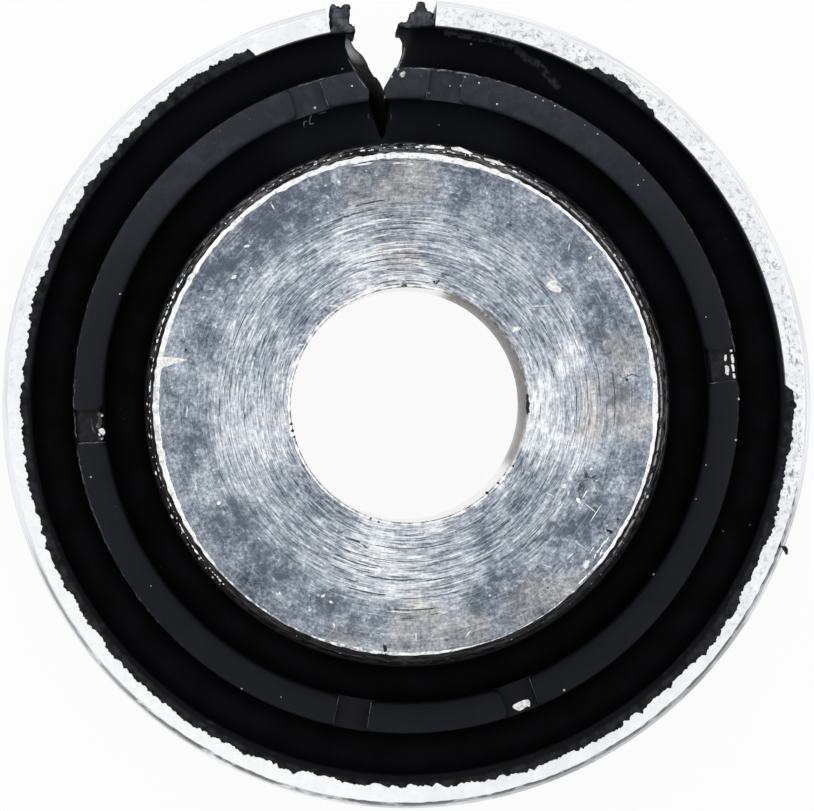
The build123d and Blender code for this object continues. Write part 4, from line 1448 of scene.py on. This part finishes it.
# Bright scratches and nicks on it: picture pixel, length, width, turn from the right
FACE_SCRATCHES = (
    ((273, 207), 0.42, 0.08, -62), ((334, 306), 0.9, 0.07, -2), ((247, 246), 0.42, 0.16, 12),
    ((234, 277), 0.36, 0.22, 25), ((339, 182), 0.2, 0.18, 0), ((398, 163), 0.55, 0.1, 0),
    ((412, 164), 0.3, 0.07, -10), ((301, 345), 0.5, 0.09, 8), ((196, 487), 0.5, 0.06, -80),
    ((219, 503), 0.3, 0.2, 30), ((552, 284), 0.75, 0.4, 20), ((540, 306), 1.1, 0.06, 2),
    ((590, 258), 0.3, 0.16, 35), ((569, 247), 0.5, 0.05, 80), ((516, 329), 0.6, 0.3, 15),
    ((593, 392), 0.35, 0.05, 10), ((580, 545), 0.9, 0.05, -35), ((592, 550), 0.5, 0.05, 60),
    ((547, 566), 0.7, 0.05, -20), ((416, 637), 0.55, 0.06, 90), ((468, 634), 0.6, 0.05, 55),
    ((323, 596), 0.3, 0.16, 30), ((331, 602), 0.26, 0.14, -20), ((310, 610), 0.26, 0.14, 40),
    ((280, 594), 0.28, 0.12, -60), ((334, 625), 0.3, 0.07, -70), ((400, 612), 1.6, 0.06, -3),
    ((405, 622), 1.1, 0.05, -2), ((262, 421), 0.6, 0.05, 88), ((240, 335), 0.4, 0.07, 60),
    ((646.8, 496.5), 0.2, 0.16, 60), ((588, 562), 0.22, 0.2, 0), ((601, 553), 0.5, 0.06, 70),
    ((564, 486), 0.35, 0.25, 20), ((568.5, 492.5), 0.3, 0.12, 80), ((570, 556), 0.6, 0.05, 40),
    ((578.5, 500.5), 0.45, 0.22, -62), ((571, 479), 0.25, 0.12, 80), ((588.5, 463.5), 0.2, 0.16, 0),
    ((591.5, 469), 0.22, 0.16, 0), ((590.5, 508), 1.0, 0.05, -39), ((585, 494), 0.6, 0.07, 59),
    ((596, 513), 1.35, 0.05, 57), ((550, 494.5), 0.6, 0.06, -27), ((560, 503), 0.3, 0.1, 60),
    ((187, 411), 0.7, 0.06, 86), ((199, 385), 0.5, 0.05, 84), ((305, 265), 0.35, 0.07, 50),
)
FACE_NICKS = (
    ((603, 544), 0.6, 0.09, 55), ((607, 540), 0.5, 0.07, 60), ((599, 550), 0.55, 0.08, 52),
    ((604, 553), 0.4, 0.06, 5), ((595, 556), 0.3, 0.08, 70), ((588, 564), 0.4, 0.09, 65),
    ((584, 566), 0.34, 0.07, 110),
)
# Dark specks on it, and pale dust on the ring and in the grooves: picture pixel and size
FACE_SPECKS = (
    ((186, 350), 0.16), ((627, 380), 0.16), ((291.5, 424), 0.16), ((292.5, 430.5), 0.18),
    ((294.3, 436.8), 0.14), ((370.6, 518.4), 0.14), ((378.7, 522), 0.14), ((487, 493), 0.18),
    ((498, 483), 0.14), ((513, 466), 0.16), ((434, 282), 0.14), ((611, 532), 0.2), ((618, 519), 0.14),
    ((548, 588), 0.12),
)
RING_SPECKS = (
    ((342, 69), 0.13), ((392, 77), 0.14), ((397.8, 69.2), 0.16), ((402, 75), 0.3), ((404, 73), 0.2),
    ((352, 86), 0.14), ((439, 125), 0.1), ((461, 86), 0.16), ((479, 83), 0.13), ((465, 77), 0.12),
    ((738.6, 399), 0.14), ((735.8, 440), 0.13), ((706, 465), 0.1), ((706, 317), 0.1), ((120, 294), 0.11),
    ((91, 477), 0.11), ((281, 697), 0.1), ((151, 586), 0.08), ((653.6, 574.2), 0.1), ((564, 690), 0.17),
    ((638, 185), 0.1), ((497, 104), 0.12), ((315, 108), 0.14), ((429, 93), 0.08), ((450, 86), 0.09),
    ((241.6, 688.6), 0.1), ((535.5, 97), 0.13), ((543, 100.5), 0.11), ((555, 106), 0.1),
    ((565, 109.5), 0.08), ((585, 125), 0.08), ((597.5, 134), 0.1), ((639, 163.5), 0.1),
    ((643.5, 180), 0.08),
)
GROOVE_SPECKS = (((471, 44), 0.13), ((750, 525), 0.12), ((723, 531), 0.1), ((696, 499), 0.08))
# Pale scars in the inner groove, each a trail of picture pixels and a width
SCARS = (
    (
        (
            (312.1, 112.7), (310.6, 116), (309.4, 118.8), (309.5, 121.5), (310.1, 123.6), (312.5, 123.4),
            (314.7, 122.7),
        ),
        0.11,
    ),
    (((307.7, 121), (305.4, 120.9), (303.7, 121.9), (303.6, 124.5), (304.4, 127.5)), 0.11),
    (((316.4, 113.5), (321.2, 112.6), (327.4, 111.6)), 0.08),
    (((368.8, 113.2), (368.2, 116), (368.6, 119)), 0.07),
    (((390.4, 112.5), (391.2, 116), (391, 120.5)), 0.06),
)
# Bare metal where the coat came off the interleaf's end, each by its corners in the picture
NOTCH_CHIPS = (
    (
        (98.2, 429.9), (100.2, 428.5), (103, 428.2), (104.7, 430.6), (105.4, 432.6), (104, 435),
        (103, 435.4), (101.3, 434), (99.6, 432.3),
    ),
    ((98.2, 433.3), (99.6, 433), (100.9, 434.7), (99.9, 436.1), (98.5, 435.4)),
    ((100.4, 415.2), (103.2, 414.6), (103, 416.3), (101.2, 416.8)),
    ((101, 438.2), (102.8, 438.6), (102.4, 439.8), (101.2, 439.6)),
    ((729.7, 349.8), (732.1, 349.4), (732.5, 351.5), (731.1, 352.2), (729.9, 351.4)),
    ((730.9, 354.6), (732.8, 354.3), (734.2, 359.1), (734.1, 363.2), (732.1, 363.1), (731.1, 359.1)),
    ((731.1, 364.6), (733.5, 364.2), (734.5, 367.3), (734.5, 371.4), (732.7, 371.4), (732.1, 368.7)),
    ((732.7, 373.5), (734.9, 373.5), (735.7, 377.6), (734.3, 379.1), (733, 377.6)),
    ((724.6, 354.9), (726.6, 354.6), (726.8, 358.4), (726.1, 361.1), (724.2, 360.8), (724.2, 357.7)),
    (
        (724.9, 365.9), (725.9, 365.3), (729, 366.6), (729.2, 370.8), (728.7, 373.5), (728.8, 374.9),
        (727, 375.2), (725.3, 373.5), (725.3, 369.4),
    ),
)
LOWER_CHIP = (
    (512.4, 706.8), (514, 704.5), (518.5, 702.2), (523.8, 700), (528.2, 699.6), (530.1, 701.9),
    (529.8, 706.8), (526.8, 706.4), (523.8, 708.6), (520, 710.9), (517, 710.1), (513.6, 708.2),
)
# Coat that is rubbed grey in the left notch: corners of two patches and the path of a line
RUBBED_COAT = (
    (
        (96.8, 413.4), (98.9, 412), (103.3, 414.4), (103, 416.5), (100.6, 417.2), (101.6, 420.3),
        (102.3, 423), (101.3, 425.8), (99.6, 427.8), (97.2, 428.5), (96.1, 425.8), (97.8, 422.3),
        (98.2, 418.9),
    ),
    ((97.5, 437.5), (100, 437), (102.8, 436.6), (103.5, 438.5), (102, 440), (99, 439.8)),
)
RUBBED_LINE = ((91.3, 418.2), (91.9, 424.4), (93, 429.2), (94.8, 432.6), (95.8, 434))
# Black chip on the outer sleeve's lead-in
EDGE_CHIP = ((780.8, 546), (786, 546), (788.2, 549.5), (788, 554), (786, 555), (783.5, 550.5))


def build_slabs(name, rows, material):
    """Piece of thin flat shapes, each with its corners, height and thickness."""
    heap = Heap()
    for corners, height, thick in rows:
        slab(heap, corners, height, thick)
    heap.build(name, [material])


def build_scratches(rng, material):
    """Bright scratches and nicks on the upper end face."""
    heap = Heap()
    for pixel, length, width, turn in FACE_SCRATCHES + FACE_NICKS:
        spot = place(pixel, end_height(math.hypot(*place(pixel, INNER_TOP)[:2])))
        sliver(heap, spot, length, width, math.radians(turn) - ROLL, 0.012, rng.uniform(-0.2, 0.2))
    heap.build("face_scratches", [material])


def build_specks(rng, dust, dirt):
    """Flakes of dirt on the upper end face, and dust on the rubber."""
    heap = Heap()
    for pixel, size in FACE_SPECKS:
        crumb(heap, place(pixel, INNER_TOP), size, rng, 0.12)
    heap.build("face_dirt", [dirt])
    for name, specks in (("ring_dust", RING_SPECKS), ("groove_dust", GROOVE_SPECKS)):
        heap = Heap()
        for pixel, size in specks:
            crumb(heap, settle(pixel), size, rng)
        heap.build(name, [dust])


def build_scars(material):
    """Pale scars in the inner groove."""
    heap = Heap()
    for trail, width in SCARS:
        bead(heap, [settle(pixel) for pixel in trail], width)
    heap.build("ring_scars", [material])


def build_rubbed_coat(material):
    """Grey patches and a line on the interleaf's coat."""
    heap = Heap()
    for corners in RUBBED_COAT:
        slab(heap, corners, PLATE_TOP, 0.006)
    bead(heap, [place(pixel, PLATE_TOP) for pixel in RUBBED_LINE], 0.09)
    heap.build("interleaf_rubbed_coat", [material])


# Room, light and camera, in metres and watts: the lamps by name, place, size and power
LAMPS = (("upper_left_lamp", (-0.5, 0.6, 0.7), 0.5, 1.6), ("right_lamp", (0.8, 0.1, 0.5), 0.3, 0.8))
WHITE = (1.0, 1.0, 1.0, 1.0)
SKY_TINT = (0.97, 0.985, 1.0, 1.0)
SKY_STRENGTH = (0.45, 1.0)
SKY_BACK = 0.3
FLOOR_TINT = (0.85, 0.85, 0.85, 1.0)
FLOOR_SIZE = 4.0
FLOOR_GLOW = 0.94
# The floor lies just below the burr of the lower end
FLOOR_DROP = 0.00004


def world_light():
    """Soft light from all round, brighter from above, and white where it is seen directly."""
    world = bpy.data.worlds.new("studio")
    bpy.context.scene.world = world
    sky = Nodes(world)
    _, back, up = sky.add("SeparateXYZ", (sky.add("TexCoord").outputs["Generated"],)).outputs
    rise = sky.add("MapRange", (up, -0.1, 0.9, *SKY_STRENGTH), interpolation_type="SMOOTHSTEP")
    strength = sky.add("Math", (back, SKY_BACK, rise.outputs[0]), operation="MULTIPLY_ADD")
    soft = sky.add("Background", (SKY_TINT, strength.outputs[0]))
    white = sky.add("Background", (WHITE, 1.0))
    sky.mix_shaders("OutputWorld", sky.seen_directly(), soft, white)


def add_lamp(name, position, size, power):
    """Soft square lamp that faces the bush and isn't seen by the camera."""
    light = bpy.data.lights.new(name, "AREA")
    light.size = size
    light.energy = power
    lamp = bpy.data.objects.new(name, light)
    bpy.context.scene.collection.objects.link(lamp)
    lamp.location = position
    aim = Vector((0, 0, OUTER_TOP * MM)) - Vector(position)
    lamp.rotation_euler = aim.to_track_quat("-Z", "Y").to_euler()
    lamp.visible_camera = False


def build_floor():
    """Plain pale floor that shows white and keeps a soft shadow."""
    bpy.ops.mesh.primitive_plane_add(size=FLOOR_SIZE, location=(0, 0, -FLOOR_DROP))
    floor = bpy.context.active_object
    floor.name = "floor"
    material = bpy.data.materials.new("floor_white")
    nodes = Nodes(material)
    matt = nodes.add("BsdfDiffuse", (FLOOR_TINT,))
    glow = nodes.add("Emission", (WHITE, 1.0))
    share = nodes.add("Math", (nodes.seen_directly(), FLOOR_GLOW), operation="MULTIPLY")
    nodes.mix_shaders("OutputMaterial", share.outputs[0], matt, glow)
    floor.data.materials.append(material)


def build_camera():
    """Long lens above the bush, turned so that the slot points up and slightly left."""
    data = bpy.data.cameras.new("camera")
    camera = bpy.data.objects.new("camera", data)
    bpy.context.scene.collection.objects.link(camera)
    bpy.context.scene.camera = camera
    right_of = (PICTURE_WIDTH / 2 - AXIS_PIXEL[0]) / PIXELS_PER_MM
    above = (AXIS_PIXEL[1] - PICTURE_HEIGHT / 2) / PIXELS_PER_MM
    target = Vector((*from_picture(right_of, above), OUTER_TOP))
    eye = Vector((*from_picture(CAMERA_SIDE + right_of, above), CAMERA_HEIGHT))
    forward = (target - eye).normalized()
    right = forward.cross(Vector((*from_picture(0, 1), 0))).normalized()
    turn = Matrix((right, right.cross(forward), -forward)).transposed()
    camera.matrix_world = Matrix.Translation(eye * MM) @ turn.to_4x4()
    data.sensor_width = SENSOR_WIDTH
    data.lens = SENSOR_WIDTH * (CAMERA_HEIGHT - OUTER_TOP) / (PICTURE_WIDTH / PIXELS_PER_MM)
    data.clip_start = 0.1
    data.clip_end = 10.0


# Materials that several pieces share
bare = paint_bare()
rubber = paint_rubber()
film = paint_film()
torn = paint_torn()
pale = paint_pale_rubber()
pale_scar_and_glint = paint_pale_scar_and_glint()
coat = paint_coat()
tube = paint_tube()
dust = paint_grainy("dust", (0.35, 0.35, 0.34), (0.8, 0.8, 0.78), 0.9)
dirt = paint_grainy("black_dirt", (0.004, 0.004, 0.004), (0.03, 0.03, 0.03), 0.7)

build_inner_sleeve([paint_turned_end(), paint_bore(), paint_rim(), paint_smeared_edge(), tube])
build_outer_sleeve([paint_outer_face(), paint_lead_in(), tube])
build_rubber_body([rubber, paint_slot_wall()])
build_film("upper", film)
build_film("lower", film)
build_rib("left_rib", LEFT_RIB, 31, [rubber, torn])
build_rib("right_rib", RIGHT_RIB, 32, [rubber, torn])
build_glint_ridges(pale)
build_slot_lip_glints(pale_scar_and_glint)
build_edge_flecks(bare)
build_plate("left", coat)
build_plate("right", coat)
build_strokes(paint_light_stroke(), paint_dark_stroke())
for name, shapes, material in (("light", BRIGHT_SHAPES, bare), ("dark", DARK_SHAPES, dirt)):
    rows = [(shape, INNER_TOP, SHAPE_RISE) for shape in shapes]
    build_slabs("face_shapes_" + name, rows, material)
marks_rng = random.Random(41)
build_scratches(marks_rng, bare)
build_specks(marks_rng, dust, dirt)
build_scars(pale_scar_and_glint)
chips = [(chip, PLATE_TOP, 0.012) for chip in NOTCH_CHIPS]
chips.append((LOWER_CHIP, RING_TOP - NOTCH_DEPTHS[3], 0.02))
build_slabs("interleaf_chips", chips, bare)
build_rubbed_coat(pale)
half_lead_in = 0.5 * LEAD_IN_LENGTH
build_slabs("sleeve_edge_chip", [(EDGE_CHIP, OUTER_TOP - half_lead_in, half_lead_in)], dirt)

world_light()
for lamp in LAMPS:
    add_lamp(*lamp)
build_floor()
build_camera()
bpy.context.scene.view_settings.view_transform = "Standard"
